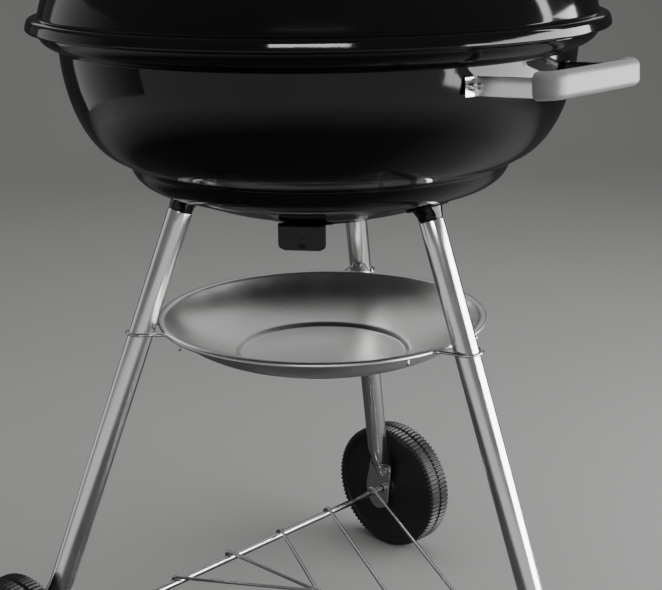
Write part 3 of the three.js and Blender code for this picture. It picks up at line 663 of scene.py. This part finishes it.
def build_lid():
    lid = Build().add(*lathe(sheet_profile(lid_outline(), -LID_WALL), 192))
    lid = lid.piece("lid_dome", ENAMEL, LID, "lid_shell")
    vent = vent_matrix()
    pad = [(0, -3.5), (46, -6.3), (48, -4.5), (49.5, -1.5),
           *quadratic((49.5, -1.5), (47.0, 1.5), (44.5, 1.5), 5), (0, 1.5)]
    cut_with(lid, *moved(lathe(pad, 72), vent), operation="UNION")
    quarters = (0, 90, 180, 270)
    hole, hole_circle, hole_count = 8, 24, 28
    for azimuth in quarters:
        x, y, _ = polar(hole_circle, azimuth)
        cut_with(lid, *moved(cylinder((x, y, -14), (x, y, 12), hole, hole_count), vent))
    dress(lid, ENAMEL, LID)

    under, thick, turned = 1.8, 1.2, 20
    top = under + thick
    centres = [polar(hole_circle, turned + azimuth) for azimuth in quarters]
    holes = [[(c.x + x, c.y + y) for x, y in circle(hole, hole_count)] for c in centres]
    disc = plate(circle(42, 96), thick, 0.25, holes)
    damper = Build().add(*disc).move(Matrix.Translation((0, 0, under + thick / 2)))
    bead = [(38.2, -0.2), (38.6, 0.35), (39.4, 0.6), (40.2, 0.35), (40.6, -0.2)]
    damper.add(*lathe([(r, top + z) for r, z in bead], 96, closed=True))
    tab_line = rounded([(0, 33.0, top - 0.5), (0, 37.0, top - 0.3), (0, 37.4, top + 11.5)], [0, 2.0, 0], 5)
    damper.add(*sweep(tab_line, rounded_box_section(16, 1.4, 0.5, 3), up=(0, -1, 0.0001)))
    damper.move(vent).piece("lid_vent_damper", ALUMINIUM, "lid_damper", "lid_damper")
    head = top + 0.3
    rivet = [(0, -9.5), (7, -9.5), (7, -7), (3, -7), (3, head), (7.5, head),
             *quadratic((7.5, head), (7.0, head + 2.5), (0, head + 2.5), 6)]
    Build().add(*lathe(rivet, 32)).move(vent).piece("lid_vent_rivet", PLATED, LID, "lid_damper_rivet")


# ---- handles
STRAP_SIZE = (1.5, 17.5)
GRIP_SIZE = (14.0, 24.5)
FASTENER = 3.0
NUT_RADIUS, NUT_HEIGHT = 6.0, 4.5


def bolt(base, head, head_radius=5.5):
    """A bolt along +Z: a hexagonal nut at its base, its shank and a domed head."""
    shank = [(0, base), (FASTENER - 0.4, base), (FASTENER, base + 0.5), (FASTENER, head),
             (head_radius, head), (head_radius, head + 0.9),
             *quadratic((head_radius, head + 0.9), (head_radius * 0.75, head + 3.0), (0, head + 3.0), 6)]
    made = Build().add(*lathe(shank, 28))
    z0, z1 = base + 0.3, base + NUT_HEIGHT
    sides = ((z0, 0.93), (z0 + 0.5, 1.0), (z1 - 0.5, 1.0), (z1, 0.93))
    return made.add(*rings_mesh([[(x, y, z) for x, y in circle(NUT_RADIUS * grow, 6)] for z, grow in sides]))


def handle_corners(half_width, reach, radius):
    """The two rounded corners between a handle's arms and its bar."""
    left = arc_points((radius - half_width, reach + radius), radius, 180, 270, 14)
    right = arc_points((half_width - radius, reach + radius), radius, 270, 360, 14)
    return left, right


def strap(line):
    """A flat metal strap on edge along a level line."""
    return Build().add(*sweep(line, rounded_box_section(*STRAP_SIZE, 0.55, 3), up=(0, 0, 1)))


def grip(line, rise=0.0):
    """A moulded sleeve over a strap: crowned faces and rounded ends."""
    section = [(x, y + rise) for x, y in rounded_box_section(*GRIP_SIZE, 6.2, 7, crown=0.5)]
    first = (line[0] - line[1]).normalized()
    last = (line[-1] - line[-2]).normalized()
    ends = [(0.0, 0.86), (0.35, 0.93), (0.9, 0.975), (1.8, 1.0)]
    head = [line[0] - first * out for out, _ in ends]
    tail = [line[-1] - last * out for out, _ in reversed(ends)]
    inner = [p for p in line[1:-1] if (p - line[0]).length > 3 and (p - line[-1]).length > 3]
    grow = [size for _, size in ends]
    scales = grow + [1.0] * len(inner) + grow[::-1]
    return Build().add(*sweep(head + inner + tail, section, up=(0, 0, 1), scales=scales))


def build_side_handle(name, azimuth):
    z, root, reach, half, base = 690.0, -248.0, -81.0, 67.0, -10
    droop, foot_half, bolt_start = -3, 6, 247.5
    turn = Matrix.Rotation(deg(azimuth + 90), 4, "Z")
    tilt = turn @ Matrix.Translation((0, root, z)) @ Matrix.Rotation(deg(droop), 4, "X")
    left, right = handle_corners(half, reach, 15)
    bowl_radius, stand_off, foot_offset = 258.6, 0.9, 16.2
    foot_radius = bowl_radius + STRAP_SIZE[0] / 2 + stand_off
    angle = deg(foot_offset)
    middle = Vector((-foot_radius * math.sin(angle), -foot_radius * math.cos(angle) - root, 0))
    along = Vector((math.cos(angle), -math.sin(angle), 0))
    foot = [middle - along * foot_half, middle + along * foot_half]
    mirror = [Vector((-p.x, p.y, 0)) for p in foot][::-1]
    line = [*foot, Vector((-half, base, 0)), *left, *right, Vector((half, base, 0)), *mirror]
    bends = [0, 5, 0] + [0] * (len(left) + len(right)) + [0, 5, 0]
    strap(rounded(line, bends, 7)).move(tilt).piece(f"{name}_strap", POLISHED, STAND, f"{name}_bracket")
    bar = left + [Vector((x, reach, 0)) for x in range(-40, 41, 8)] + right
    grip(bar, rise=1.8).move(tilt).piece(f"{name}_sleeve", GREY_PLASTIC, STAND, f"{name}_grip")
    for label, offset in (("left", -foot_offset), ("right", foot_offset)):
        across = (Matrix.Rotation(deg(azimuth + 90 + offset), 4, "Z") @ Matrix.Translation((0, 0, z))
                  @ Matrix.Rotation(deg(90), 4, "X"))
        screw = bolt(bolt_start, foot_radius + 1.5, head_radius=3.6).move(across)
        screw.piece(f"{name}_screw_{label}", PLATED, STAND, f"{name}_bolt_{label}")


def build_lid_handle():
    shield_z, thick, half, rise, foot = 932.0, 1.2, 70.0, 36.0, 46
    foot_z = shield_z + thick + GAP + STRAP_SIZE[0] / 2
    corners = [(-84, -28, 0), (84, -28, 0), (84, 28, 0), (-84, 28, 0)]
    outline = rounded(corners, 14, 8, closed=True)
    shield = Build().add(*plate(outline, thick, 0.3)).move(Matrix.Translation((0, 0, shield_z + thick / 2)))
    low, high = shield_z + 1.1, shield_z + 1.35
    for y in (-17.0, 17.0):
        rib = [(-62, y, low), (-58, y, high), (58, y, high), (62, y, low)]
        shield.add(*sweep(rib, circle(1.4, 12), None, [0.2, 1, 1, 0.2]))
    shield.piece("lid_heat_shield", ALUMINIUM, LID, "lid_handle_shield")

    upright = Matrix.Translation((0, 0, foot_z)) @ Matrix.Rotation(deg(-90), 4, "X")
    left, right = handle_corners(half, -rise, 22)
    line = [(-foot, 0, 0), (-half, 0, 0), *left, *right, (half, 0, 0), (foot, 0, 0)]
    line = rounded(line, [0, 4] + [0] * (len(left) + len(right)) + [4, 0], 5)
    strap(line).move(upright).piece("lid_handle_strap", POLISHED, LID, "lid_handle_bracket")
    bar = left + [Vector((x, -rise, 0)) for x in range(-42, 43, 7)] + right
    bar = [Vector((-half, -11, 0)), *bar, Vector((half, -11, 0))]
    grip(bar).move(upright).piece("lid_handle_sleeve", GREY_PLASTIC, LID, "lid_handle_grip")
    for label, x in (("left", -58.0), ("right", 58.0)):
        screw = bolt(917.0, foot_z + 1.05).move(Matrix.Translation((x, 0, 0)))
        screw.piece(f"lid_handle_screw_{label}", PLATED, LID, f"lid_handle_bolt_{label}")


# ---- legs
LEG_BORE = 11.1
LEG_TOP_LIP = [(1.2, 0.0), (0.5, 0.16), (0.1, 0.45), (0, 0.7)]


def leg_sides(azimuth):
    """The two directions square to a leg's axis: along the bowl's edge, and outward."""
    axis = (leg_point(azimuth, 0) - leg_point(azimuth, 1)).normalized()
    across = Vector((0, 0, 1)).cross(axis).normalized()
    return across, axis.cross(across).normalized()


def tube_ring(azimuth, z, radius, count=48):
    """A ring square to a leg's axis, about its point at a height."""
    across, outward = leg_sides(azimuth)
    centre = leg_point(azimuth, z)
    return [centre + across * radius * math.cos(a) + outward * radius * math.sin(a)
            for a in full_turn(count)]


def lip_rings(azimuth, count=48):
    """The rounded end of a leg's tube, inside its socket."""
    return [tube_ring(azimuth, LEG_TOP_Z - below, LEG_RADIUS - inset, count) for below, inset in LEG_TOP_LIP]


def build_socket(name, azimuth):
    """A collar over the leg's top that spreads into a winged saddle against the bowl."""
    count, saddle_z = 64, 558.0
    across, outward = leg_sides(azimuth)
    radial_way = polar(1, azimuth)
    flip = -1 if outward.dot(radial_way) > 0 else 1

    def saddle_ring(wing, radial, drop):
        centre = leg_point(azimuth, saddle_z)
        ring = []
        for a in full_turn(count):
            flat = centre + across * wing * math.cos(a) - radial_way * radial * math.sin(a) * flip
            ring.append(Vector((flat.x, flat.y, bowl_z(math.hypot(flat.x, flat.y)) - drop)))
        return ring

    collar = [(516, 8.8), (515.5, 10.2), (517, 10.8), (545.4, 10.8), (545.5, 11.9), (546.3, 12.3),
              (549.5, 12.4)]
    rings = [tube_ring(azimuth, z, radius, count) for z, radius in collar]
    base, flare = rings[-1], saddle_ring(16.5, 12.6, 2.2)
    for t in (0.35, 0.65, 0.9):
        ease = t * t * (3 - 2 * t)
        rings.append([p.lerp(q, ease * 0.85 + t * 0.15) for p, q in zip(base, flare)])
    edges = [(20.5, 13.6, 1.9), (25.5, 14.6, 1.7), (26.8, 14.9, 1.3), (27.0, 15.0, 0.6), (26.2, 14.6, 0.3)]
    rings += [flare] + [saddle_ring(*edge) for edge in edges]
    Build().add(*rings_mesh(rings)).piece(f"{name}_collar", ENAMEL, STAND, name)


def ring_uvs(rings):
    """Grain coordinates of a leg's tube: metres along it and round it."""
    uvs, travel, last = [], 0.0, None
    for ring in rings:
        middle = sum(ring, Vector()) / len(ring)
        if last is not None:
            travel += (middle - last).length
        last = middle
        uvs += [(travel * MM, LEG_RADIUS * a * MM) for a in full_turn(len(ring))]
    return uvs


def build_front_leg():
    azimuth = LEG_AZIMUTH["front"]
    rings = [tube_ring(azimuth, z, LEG_RADIUS) for z in [8.0, 8.6] + [40.0 * k for k in range(1, 14)]]
    rings += lip_rings(azimuth)
    rings += [tube_ring(azimuth, z, LEG_BORE) for z in (LEG_TOP_Z - 0.6, LEG_TOP_Z - 40, 30.0, 8.0)]
    tube = Build().add(*rings_mesh(rings, closed_long=True), ring_uvs(rings))
    tube.piece("leg_front_tube", POLISHED, STAND, "leg_front")

    cap = [(8.2, 12.8), (33.4, 12.8), (34.0, 13.1), (34.4, 14.6), (33.4, 15.4), (30.0, 15.6), (28.6, 15.1),
           (27.2, 15.6), (16.0, 15.6)]
    rings = [tube_ring(azimuth, z, radius) for z, radius in cap]
    start = 6.0
    for z, radius in ((3.0, 15.6), (0.8, 15.0), (0.0, 13.6)):
        shift = leg_point(azimuth, z) - leg_point(azimuth, start)
        ring = tube_ring(azimuth, start, radius)
        rings.append([Vector((v.x + shift.x, v.y + shift.y, z)) for v in ring])
    Build().add(*rings_mesh(rings)).piece("leg_front_foot", BLACK_PLASTIC, STAND, "leg_front_cap")


# ---- wheel legs
PLATE_INNER_X, PLATE_OUTER_X = 275.0, 278.0
PLATE_TOP_Z = 123.0
AXLE_HOLE = 4.9
PLATE_FRONT = [(123.0, 142.5), (92.0, 145.5), (64.5, 148.5), (57.5, 153.0), (53.6, 160.5), (52.8, 166.5)]
PLATE_REAR = [(123.0, 177.8), (79.0, 187.5), (65.0, 182.5), (57.5, 177.2), (53.6, 171.5), (52.8, 166.5)]
FOLD_TIP_Y, FOLD_TIP_Z = 161.5, 98.0
FOLD_LEAN, FOLD_WIDTH, FOLD_DEPTH = 5.0, 14.5, 16.5


def plate_ring(z, count):
    """A level slice of the flattened end, with the fold's bulge on its inner side."""
    front, rear = interpolate(PLATE_FRONT, z), interpolate(PLATE_REAR, z)
    middle, half = (front + rear) / 2, max((rear - front) / 2, 0.4)
    reach = max((z - FOLD_TIP_Z) / (PLATE_TOP_Z - FOLD_TIP_Z), 0.0)
    bulge_y = FOLD_TIP_Y - FOLD_LEAN * reach
    bulge_width, bulge_depth = FOLD_WIDTH * reach ** 0.8, FOLD_DEPTH * reach
    half_wall = (PLATE_OUTER_X - PLATE_INNER_X) / 2
    ring = []
    for a in full_turn(count):
        y = middle + half * math.cos(a)
        flat = math.copysign(min(1.0, abs(math.sin(a)) * 3.2) ** 0.5, math.sin(a))
        x = (PLATE_INNER_X + PLATE_OUTER_X) / 2 + half_wall * flat
        if math.sin(a) < 0 and bulge_width > 0.1:
            x -= bulge_depth * math.sqrt(max(1 - ((y - bulge_y) / bulge_width) ** 2, 0.0))
        ring.append(Vector((x, y, z)))
    return ring


def build_wheel_leg(name, side):
    """A tube whose lower end is squeezed flat against its outer side, with the axle's hole in it."""
    count, azimuth, tube_start, tube_step = 72, LEG_AZIMUTH["right"], 156.0, 29.0
    heights = [PLATE_TOP_Z, 118, 113, 108, 104, 101, 99, 98, 94, 83, 72, 65, 61, 58, 56, 54.4, 53.4, 52.9]
    rings = [plate_ring(z, count) for z in reversed(heights)]
    squeezed = rings[-1]
    for k in range(1, 10):
        t = k / 10
        ease = t * t * (3 - 2 * t)
        round_ring = tube_ring(azimuth, PLATE_TOP_Z + (tube_start - PLATE_TOP_Z) * t, LEG_RADIUS, count)
        rings.append([p.lerp(q, ease) for p, q in zip(squeezed, round_ring)])
    rings += [tube_ring(azimuth, tube_start + tube_step * k, LEG_RADIUS, count) for k in range(14)]
    rings += lip_rings(azimuth, count)
    rings += [tube_ring(azimuth, LEG_TOP_Z - below, LEG_BORE, count) for below in (0.6, 60)]
    leg = Build().add(*rings_mesh(rings), ring_uvs(rings)).move(Matrix.Diagonal((side, 1, 1, 1)))
    tube = leg.piece(f"leg_{name}_tube", POLISHED, STAND, f"leg_{name}")
    hole = cylinder((side * 268, AXLE_Y, AXLE_Z), (side * 284, AXLE_Y, AXLE_Z), AXLE_HOLE, 40)
    cut_with(tube, *hole)
    dress(tube, POLISHED, STAND)


# ---- wheels, axle and rack
WHEEL_X = 299.0
TEETH, TOOTH_STEPS = 90, 4
SPOKES = 10
HUB_FACE = 19.0


def about_axle(side):
    """Stands a shape turned about Z on the axle, with its top pointing away from the kettle."""
    return (Matrix.Translation((0, AXLE_Y, AXLE_Z)) @ Matrix.Diagonal((side, 1, 1, 1))
            @ Matrix.Rotation(deg(90), 4, "Y"))


def tread_row(sign):
    """Stations of one row of ribs from the face to the middle: (crest, valley) as (radius, width)."""
    crest = [(78.4, 17.0), (80.0, 16.9), (81.9, 16.1), (82.8, 14.6), (83.0, 12.8), (83.0, 3.3), (82.6, 2.2)]
    valley = [(78.4, 17.0), (78.7, 16.2), (80.2, 15.3), (81.0, 14.0), (81.2, 12.8), (81.2, 3.3), (81.0, 2.2)]
    pairs = [((r0, sign * w0), (r1, sign * w1)) for (r0, w0), (r1, w1) in zip(crest, valley)]
    return pairs if sign > 0 else pairs[::-1]


def build_wheel(name, side):
    """A moulded wheel: dished face with spokes, flat inner face and two rows of ribs, half a pitch apart."""
    outer = [(4.5, 18.6), (5.0, 19.0), (13.2, 19.0), (14.4, 18.4), (16.6, 10.2), (18.4, 9.0), (58.5, 9.0),
             (60.6, 9.9), (65.2, 15.6), (66.8, 16.8), (68.6, 17.0)]
    inner = [(74.6, -17.0), (73.4, -16.7), (72.0, -14.6), (70.6, -14.2), (17.8, -14.2), (16.2, -14.8),
             (14.8, -18.4), (13.6, -19.0), (5.0, -19.0), (4.5, -18.6)]
    groove = [(80.0, 1.3), (80.0, -1.3)]
    stations = [(p, p, 0) for p in outer] + [(*pair, 0) for pair in tread_row(1)]
    stations += [(p, p, 0) for p in groove] + [(*pair, 2) for pair in tread_row(-1)]
    stations += [(p, p, 0) for p in inner]
    rings = []
    for crest, valley, shift in stations:
        ring = []
        for j, angle in enumerate(full_turn(TEETH * TOOTH_STEPS)):
            radius, width = crest if (j + shift) % TOOTH_STEPS < 2 else valley
            ring.append((radius * math.cos(angle), radius * math.sin(angle), WHEEL_X + width))
        rings.append(ring)
    wheel = Build().add(*rings_mesh(rings, closed_long=True))
    line = [Vector((x, 0, WHEEL_X + 9.6)) for x in (14.5, 16.0, 60.0, 61.5)]
    spoke = sweep(line, rounded_box_section(5.0, 3.6, 1.2, 3), up=(0, 0, 1), scales=[0.6, 1, 1, 0.6])
    for angle in full_turn(SPOKES):
        wheel.add(*moved(spoke, Matrix.Rotation(angle, 4, "Z")))
    band = [(35.0, 8.6), (35.3, 10.4), (36.2, 11.0), (37.1, 10.4), (37.4, 8.6)]
    wheel.add(*lathe([(radius, WHEEL_X + z) for radius, z in band], 120, closed=True))
    wheel.move(about_axle(side))
    wheel.piece(f"wheel_{name}_moulding", BLACK_PLASTIC, f"wheel_{name}", f"wheel_{name}")

    face, end = WHEEL_X + HUB_FACE + GAP, AXLE_END + GAP
    cap = [(0, end), (4.3, end), (4.3, face), (12.2, face), (13.0, face + 0.8), (13.0, face + 2.4),
           (12.0, face + 3.4)]
    cap += quadratic((12.0, face + 3.4), (11.0, face + 7.6), (6.5, face + 8.6), 8)
    cap += quadratic((6.5, face + 8.6), (3.0, face + 9.0), (0, face + 9.0), 4)
    cover = Build().add(*lathe(cap, 64)).move(about_axle(side))
    cover.piece(f"hub_cap_{name}_cover", BLACK_PLASTIC, STAND, f"hub_cap_{name}")


def build_axle():
    end = AXLE_END - 1.4
    line = [(x, AXLE_Y, AXLE_Z) for x in (-end, 0, end)]
    Build().add(*wire(line, AXLE_RADIUS, 32)).piece("axle_rod", PLATED, STAND, "axle")


RACK_WIRE, RACK_SPINE = 2.0, 2.5
RACK_PITCH_X, RACK_PITCH_Y = 85.4, 144.4
RACK_Z = AXLE_Z + AXLE_RADIUS + 0.6 + RACK_WIRE


def axle_hook(x, radius):
    """A wire's end that hooks over the axle from the front and curls down behind it."""
    reach = AXLE_RADIUS + 0.6 + radius
    return [Vector((x, AXLE_Y + reach * math.cos(deg(angle)), AXLE_Z + reach * math.sin(deg(angle))))
            for angle in range(-30, 91, 10)]


def build_rack():
    """Three V wires and a spine, which hook over the axle and meet a ring round the plain leg."""
    rack = Build()
    for order in (1, 2, 3):
        left, right = (axle_hook(way * order * RACK_PITCH_X, RACK_WIRE) for way in (-1, 1))
        apex = Vector((0, AXLE_Y - order * RACK_PITCH_Y, RACK_Z))
        bend = rounded([left[-1], apex, right[-1]], 7.0, 8)
        rack.add(*wire(left + bend[1:-1] + right[::-1], RACK_WIRE))
    leg_axis = leg_radius_at(RACK_Z)
    ring_radius = LEG_RADIUS / math.cos(math.atan(LEG_SPLAY)) + GAP + RACK_WIRE + 0.5
    hook = axle_hook(0, RACK_SPINE)
    rack.add(*wire(hook + [Vector((0, ring_radius - leg_axis, hook[-1].z))], RACK_SPINE))
    section = [(ring_radius + x, RACK_Z + z) for x, z in circle(RACK_WIRE, 14)]
    rack.add(*lathe(section, 64, closed=True, centre=(0, -leg_axis)))
    rack.piece("bottom_rack_wires", PLATED, STAND, "bottom_rack")


# ---- grates
def build_grate(name, radius, z, rim, bars, bar, coat):
    """A round grate: a rim wire, parallel rods on top and two cross rods under them."""
    section = [(radius + x, z + y) for x, y in circle(rim, 14)]
    grate = Build().add(*lathe(section, 144, closed=True))
    pitch = 2 * radius / (bars + 1)

    def reach_at(offset):
        return math.sqrt(radius ** 2 - offset ** 2) - rim * 0.4

    for i in range(1, bars + 1):
        x = i * pitch - radius
        reach = reach_at(x)
        grate.add(*wire([(x, y, z + 0.4) for y in (-reach, 0, reach)], bar, 10))
    for y in (-radius / 2, radius / 2):
        reach = reach_at(y)
        grate.add(*wire([(x, y, z - bar) for x in (-reach, 0, reach)], bar * 0.95, 10))
    grate.piece(f"{name}_rods", coat, name, name)


# ---- ash pan, clips
def pan_outline():
    floor, lip = PAN_FLOOR_Z, PAN_LIP_Z
    line = [(0.0, floor), (86.5, floor)]
    line += quadratic((86.5, floor), (89.0, floor), (90.5, floor + 1.7), 5)
    line += quadratic((92.5, floor + 3.4), (94.0, floor + 4.4), (97.0, floor + 4.9), 5)
    line += bezier((97.0, floor + 4.9), (132.0, floor + 13.5), (153.0, floor + 24.0), (166.0, lip - 3.4), 18)
    return line + quadratic((166.0, lip - 3.4), (167.4, lip - 1.3), (169.0, lip - 1.3), 4)


def build_pan():
    """A spun pan: stepped floor, sloping wall and a rolled lip."""
    wall, bead = 1.2, 2.7
    outline = pan_outline()
    x, y = 171.6, PAN_LIP_Z - bead
    rolled = [(x + bead * math.cos(a), y + bead * math.sin(a))
              for a in (deg(180 + 245 * k / 14) for k in range(15))]
    profile = [*outline[:-1], (169.0, PAN_LIP_Z - 3.2), *rolled, (169.2, PAN_LIP_Z - 0.1)]
    profile += offset_line(outline, wall)[::-1][1:]
    Build().add(*lathe(profile, 192)).piece("ash_pan_dish", ALUMINIUM, "ash_pan", "ash_pan")


CLIP_WIRE = 1.5


def build_clip(name, azimuth):
    """A wire bent round the leg's outer side, whose two arms run under the pan's lip and curl down."""
    z = PAN_LIP_Z - 0.6 - GAP - CLIP_WIRE
    leg_axis = leg_radius_at(z)
    bend, arm_radius, end_angle = LEG_RADIUS + GAP + CLIP_WIRE + 1.2, 171.9, 17.0
    half = [polar(arm_radius + 1.0, end_angle + 0.9, z - 7.0)]
    half.append(polar(arm_radius + 0.6, end_angle + 1.1, z - 3.2))
    half += [polar(arm_radius, end_angle - back, z) for back in (0, 2, 4, 6, 8)]
    half += [polar(arm_radius + 3.5, 6.6, z), Vector((leg_axis - 6, bend, z))]
    other = [Vector((p.x, -p.y, p.z)) for p in half][::-1]
    bends = [0, 2.5, 2, 0, 0, 0, 0, 4, 3]
    around = arc_points((leg_axis, 0), bend, 90, -90, 24, z)
    line = rounded(half + around + other, bends + [0] * len(around) + bends[::-1], 5)
    clip = Build().add(*wire(line, CLIP_WIRE)).move(Matrix.Rotation(deg(azimuth), 4, "Z"))
    clip.piece(f"{name}_wire", PLATED, STAND, name)


# ---- floor, light and camera
def build_stage():
    """A pale floor that curves up into a backdrop, square to the camera's view."""
    coat, tree, shader = material("studio_floor")
    clouds = noise(tree, object_coords(tree), 1.5, 2.0)
    tree.links.new(tint(tree, clouds, (0.50, 0.50, 0.49), (0.54, 0.54, 0.53)), shader.inputs["Base Color"])
    shader.inputs["Roughness"].default_value = 0.75
    half, back, height, curve, side = 7.0, 5.0, 6.0, 2.0, 9.0
    profile = [(-half, 0.0), (back - curve, 0.0)]
    profile += [(back - curve + curve * math.sin(a), curve - curve * math.cos(a))
                for a in (deg(90 * k / 16) for k in range(1, 17))]
    profile.append((back, height))
    turn = Matrix.Rotation(deg(-46.2), 4, "Z")
    verts = [turn @ Vector((x, y, z)) for y, z in profile for x in (-side, side)]
    faces = [[2 * i, 2 * i + 1, 2 * i + 3, 2 * i + 2] for i in range(len(profile) - 1)]
    mesh = new_mesh("studio_floor", verts, faces)
    for face in mesh.polygons:
        face.use_smooth = True
    mesh.materials.append(coat)
    link_object("studio_floor", mesh)


def build_camera():
    """A long lens from the front left, a little above the rim, looking down by about 16 degrees."""
    yaw, pitch, roll = deg(-136.188 + 180 - 0.366), deg(15.912), deg(-0.686)
    forward = Vector((math.cos(yaw) * math.cos(pitch), math.sin(yaw) * math.cos(pitch), -math.sin(pitch)))
    level = forward.cross(Vector((0, 0, 1))).normalized()
    above = level.cross(forward).normalized()
    right = level * math.cos(roll) + above * math.sin(roll)
    up = above * math.cos(roll) - level * math.sin(roll)
    data = bpy.data.cameras.new("camera")
    data.lens, data.sensor_width = 76.73, 36.0
    data.clip_end = 60.0
    camera = link_object("camera", data)
    rotation = Matrix((right, up, -forward)).transposed().to_4x4()
    camera.matrix_world = Matrix.Translation(place((-1038.8, -996.65, 851.9))) @ rotation
    bpy.context.scene.camera = camera


def area_light(name, location, target, size, energy):
    data = bpy.data.lights.new(name, "AREA")
    data.shape = "RECTANGLE"
    data.size, data.size_y = size
    data.energy = energy
    light = link_object(name, data)
    light.location = location
    light.rotation_mode = "QUATERNION"
    light.rotation_quaternion = (Vector(target) - Vector(location)).to_track_quat("-Z", "Y")
    light.visible_camera = False
    return light


def soft_panel(name, azimuth, spread, distance, low, high, radiance, aim_z=None):
    """A soft light on an arc about the kettle: its spread in degrees, its heights in metres."""
    width = 2 * distance * math.tan(deg(spread / 2))
    middle = (low + high) / 2
    x, y, _ = polar(distance, azimuth)
    target = (0, AXIS_Y, middle if aim_z is None else aim_z)
    tall = (high - low) / max(math.cos(math.atan2(middle - target[2], distance)), 0.3)
    energy = radiance * math.pi * width * tall
    return area_light(name, (x, y + AXIS_Y, middle), target, (width, tall), energy)


def emitter(name):
    coat, tree, shader = material(name)
    shader.inputs["Base Color"].default_value = (0.02, 0.02, 0.02, 1)
    shader.inputs["Roughness"].default_value = 1.0
    shader.inputs["Emission Color"].default_value = (1, 1, 1, 1)
    return coat, tree, shader.inputs["Emission Strength"]


def reflector(name, verts, faces, coat):
    """A studio reflector that only gloss sees: it is out of the picture and of the soft light."""
    mesh = new_mesh(name, verts, faces)
    mesh.materials.append(coat)
    obj = link_object(name, mesh)
    obj.visible_camera = False
    obj.visible_diffuse = False
    obj.visible_shadow = False
    obj.visible_transmission = False


def combine(tree, operation, first, second):
    made = node(tree, "ShaderNodeMath", operation=operation)
    tree.links.new(first, made.inputs[0])
    tree.links.new(second, made.inputs[1])
    return made.outputs[0]


def measure(tree, operation, point):
    """DISTANCE from a point, or DOT_PRODUCT with a direction, of each point of a surface."""
    made = node(tree, "ShaderNodeVectorMath", operation=operation)
    tree.links.new(object_coords(tree), made.inputs[0])
    made.inputs[1].default_value = point
    return made.outputs["Value"]


# Emission strengths of the painted floor reflection: a painted pool of light, the painted shade under the
# kettle, and the pale floor further out.
SKIRT_GLOW, SKIRT_PAINTED_SHADE, SKIRT_PALE = 0.45, 0.04, 0.62
SKIRT_RADIUS, SKIRT_LOW, SKIRT_HIGH = 3.0, 0.004, 0.62
GLOW_CENTRE = (0.68, -0.40, 0.0)


def build_surround():
    """A painted reflection of the floor for glossy surfaces: painted shade under the kettle, dimmer behind
    it, pale further out, and a painted pool of light.
    """
    coat, tree, strength = emitter("painted_floor_reflection")
    # The emission paints the kettle's shade under it, dims the side behind it and paints a pool of light,
    # all seen only in reflections.
    outer = ramp(tree, measure(tree, "DISTANCE", (0, 0, 0)), SKIRT_PAINTED_SHADE, SKIRT_PALE, 0.9, 1.5)
    open_side = ramp(tree, measure(tree, "DOT_PRODUCT", polar(1, 35)), 1.0, 0.05, 0.2, 1.1)
    glow = ramp(tree, measure(tree, "DISTANCE", GLOW_CENTRE), SKIRT_GLOW, 0.0, 0.1, 0.8)
    tree.links.new(combine(tree, "ADD", combine(tree, "MULTIPLY", outer, open_side), glow), strength)
    ring = circle(SKIRT_RADIUS, 48)
    verts = [(0, 0, SKIRT_LOW)] + [(x, y, z) for z in (SKIRT_LOW, SKIRT_HIGH) for x, y in ring]
    pairs = [(1 + i, 1 + (i + 1) % len(ring)) for i in range(len(ring))]
    faces = [[0, a, b] for a, b in pairs] + [[a, b, b + len(ring), a + len(ring)] for a, b in pairs]
    reflector("painted_floor_reflection", verts, faces, coat)


def build_card(name, azimuths, distance, low, high, strengths):
    """A curved reflector whose light fades evenly from one end of its arc to the other."""
    coat, tree, strength = emitter(name)
    start, end = (polar(distance, azimuth) for azimuth in azimuths)
    way = (end - start).normalized()
    shade = ramp(tree, measure(tree, "DOT_PRODUCT", way), *strengths, start.dot(way), end.dot(way))
    tree.links.new(shade, strength)
    count = 24
    arc = arc_points((0, 0), distance, *azimuths, count)
    verts = [(x, y, z) for x, y, _ in arc for z in (low, high)]
    faces = [[2 * i, 2 * i + 2, 2 * i + 3, 2 * i + 1] for i in range(count)]
    reflector(name, verts, faces, coat)


def build_light():
    world = bpy.data.worlds.new("studio")
    world.use_nodes = True
    background = world.node_tree.nodes["Background"]
    background.inputs["Color"].default_value = (1, 1, 1, 1)
    background.inputs["Strength"].default_value = 0.15
    bpy.context.scene.world = world
    overhead = area_light("overhead_soft", (0.2, 0.4, 3.0), (0.2, 0.4, 0), (3.0, 3.0), 31)
    key = soft_panel("right_key", -52, 66, 1.8, 0.12, 1.6, 3.4)
    for light in (overhead, key):
        light.visible_glossy = False
    softbox = soft_panel("right_softbox", -52, 66, 1.6, 0.12, 1.04, 11.0)
    strip = soft_panel("right_strip", -41, 5, 1.6, 1.04, 1.7, 11.0)
    front = soft_panel("front_strip", -139.5, 28, 2.0, 1.34, 1.47, 22.0, aim_z=0.7)
    for light in (softbox, strip, front):
        light.visible_diffuse = False
    build_card("left_card", (97, 146), 2.0, 0.0, 1.3, (0.85, 0.1))
    build_card("back_shade", (-14, 83), 2.9, 0.0, 1.25, (0.02, 0.02))
    build_card("pan_card", (14, 74), 2.6, 1.25, 3.2, (0.85, 0.7))


build_bowl()
build_bottom_damper()
build_lid()
build_lid_handle()
for NAME, AZIMUTH in (("side_handle_front", -90), ("side_handle_rear", 90)):
    build_side_handle(NAME, AZIMUTH)
for NAME, AZIMUTH in LEG_AZIMUTH.items():
    build_socket(f"leg_socket_{NAME}", AZIMUTH)
    build_clip(f"ash_pan_clip_{NAME}", AZIMUTH)
build_front_leg()
for NAME, SIDE in (("left", -1), ("right", 1)):
    build_wheel_leg(NAME, SIDE)
    build_wheel(NAME, SIDE)
build_axle()
build_rack()
build_grate("charcoal_grate", 203.0, 606.5, 3.6, 17, 2.4, GRATE)
build_grate("cooking_grate", 261.0, 716.0, 3.2, 31, 1.7, PLATED)
build_pan()
build_stage()
build_surround()
build_camera()
build_light()

bpy.context.view_layer.update()
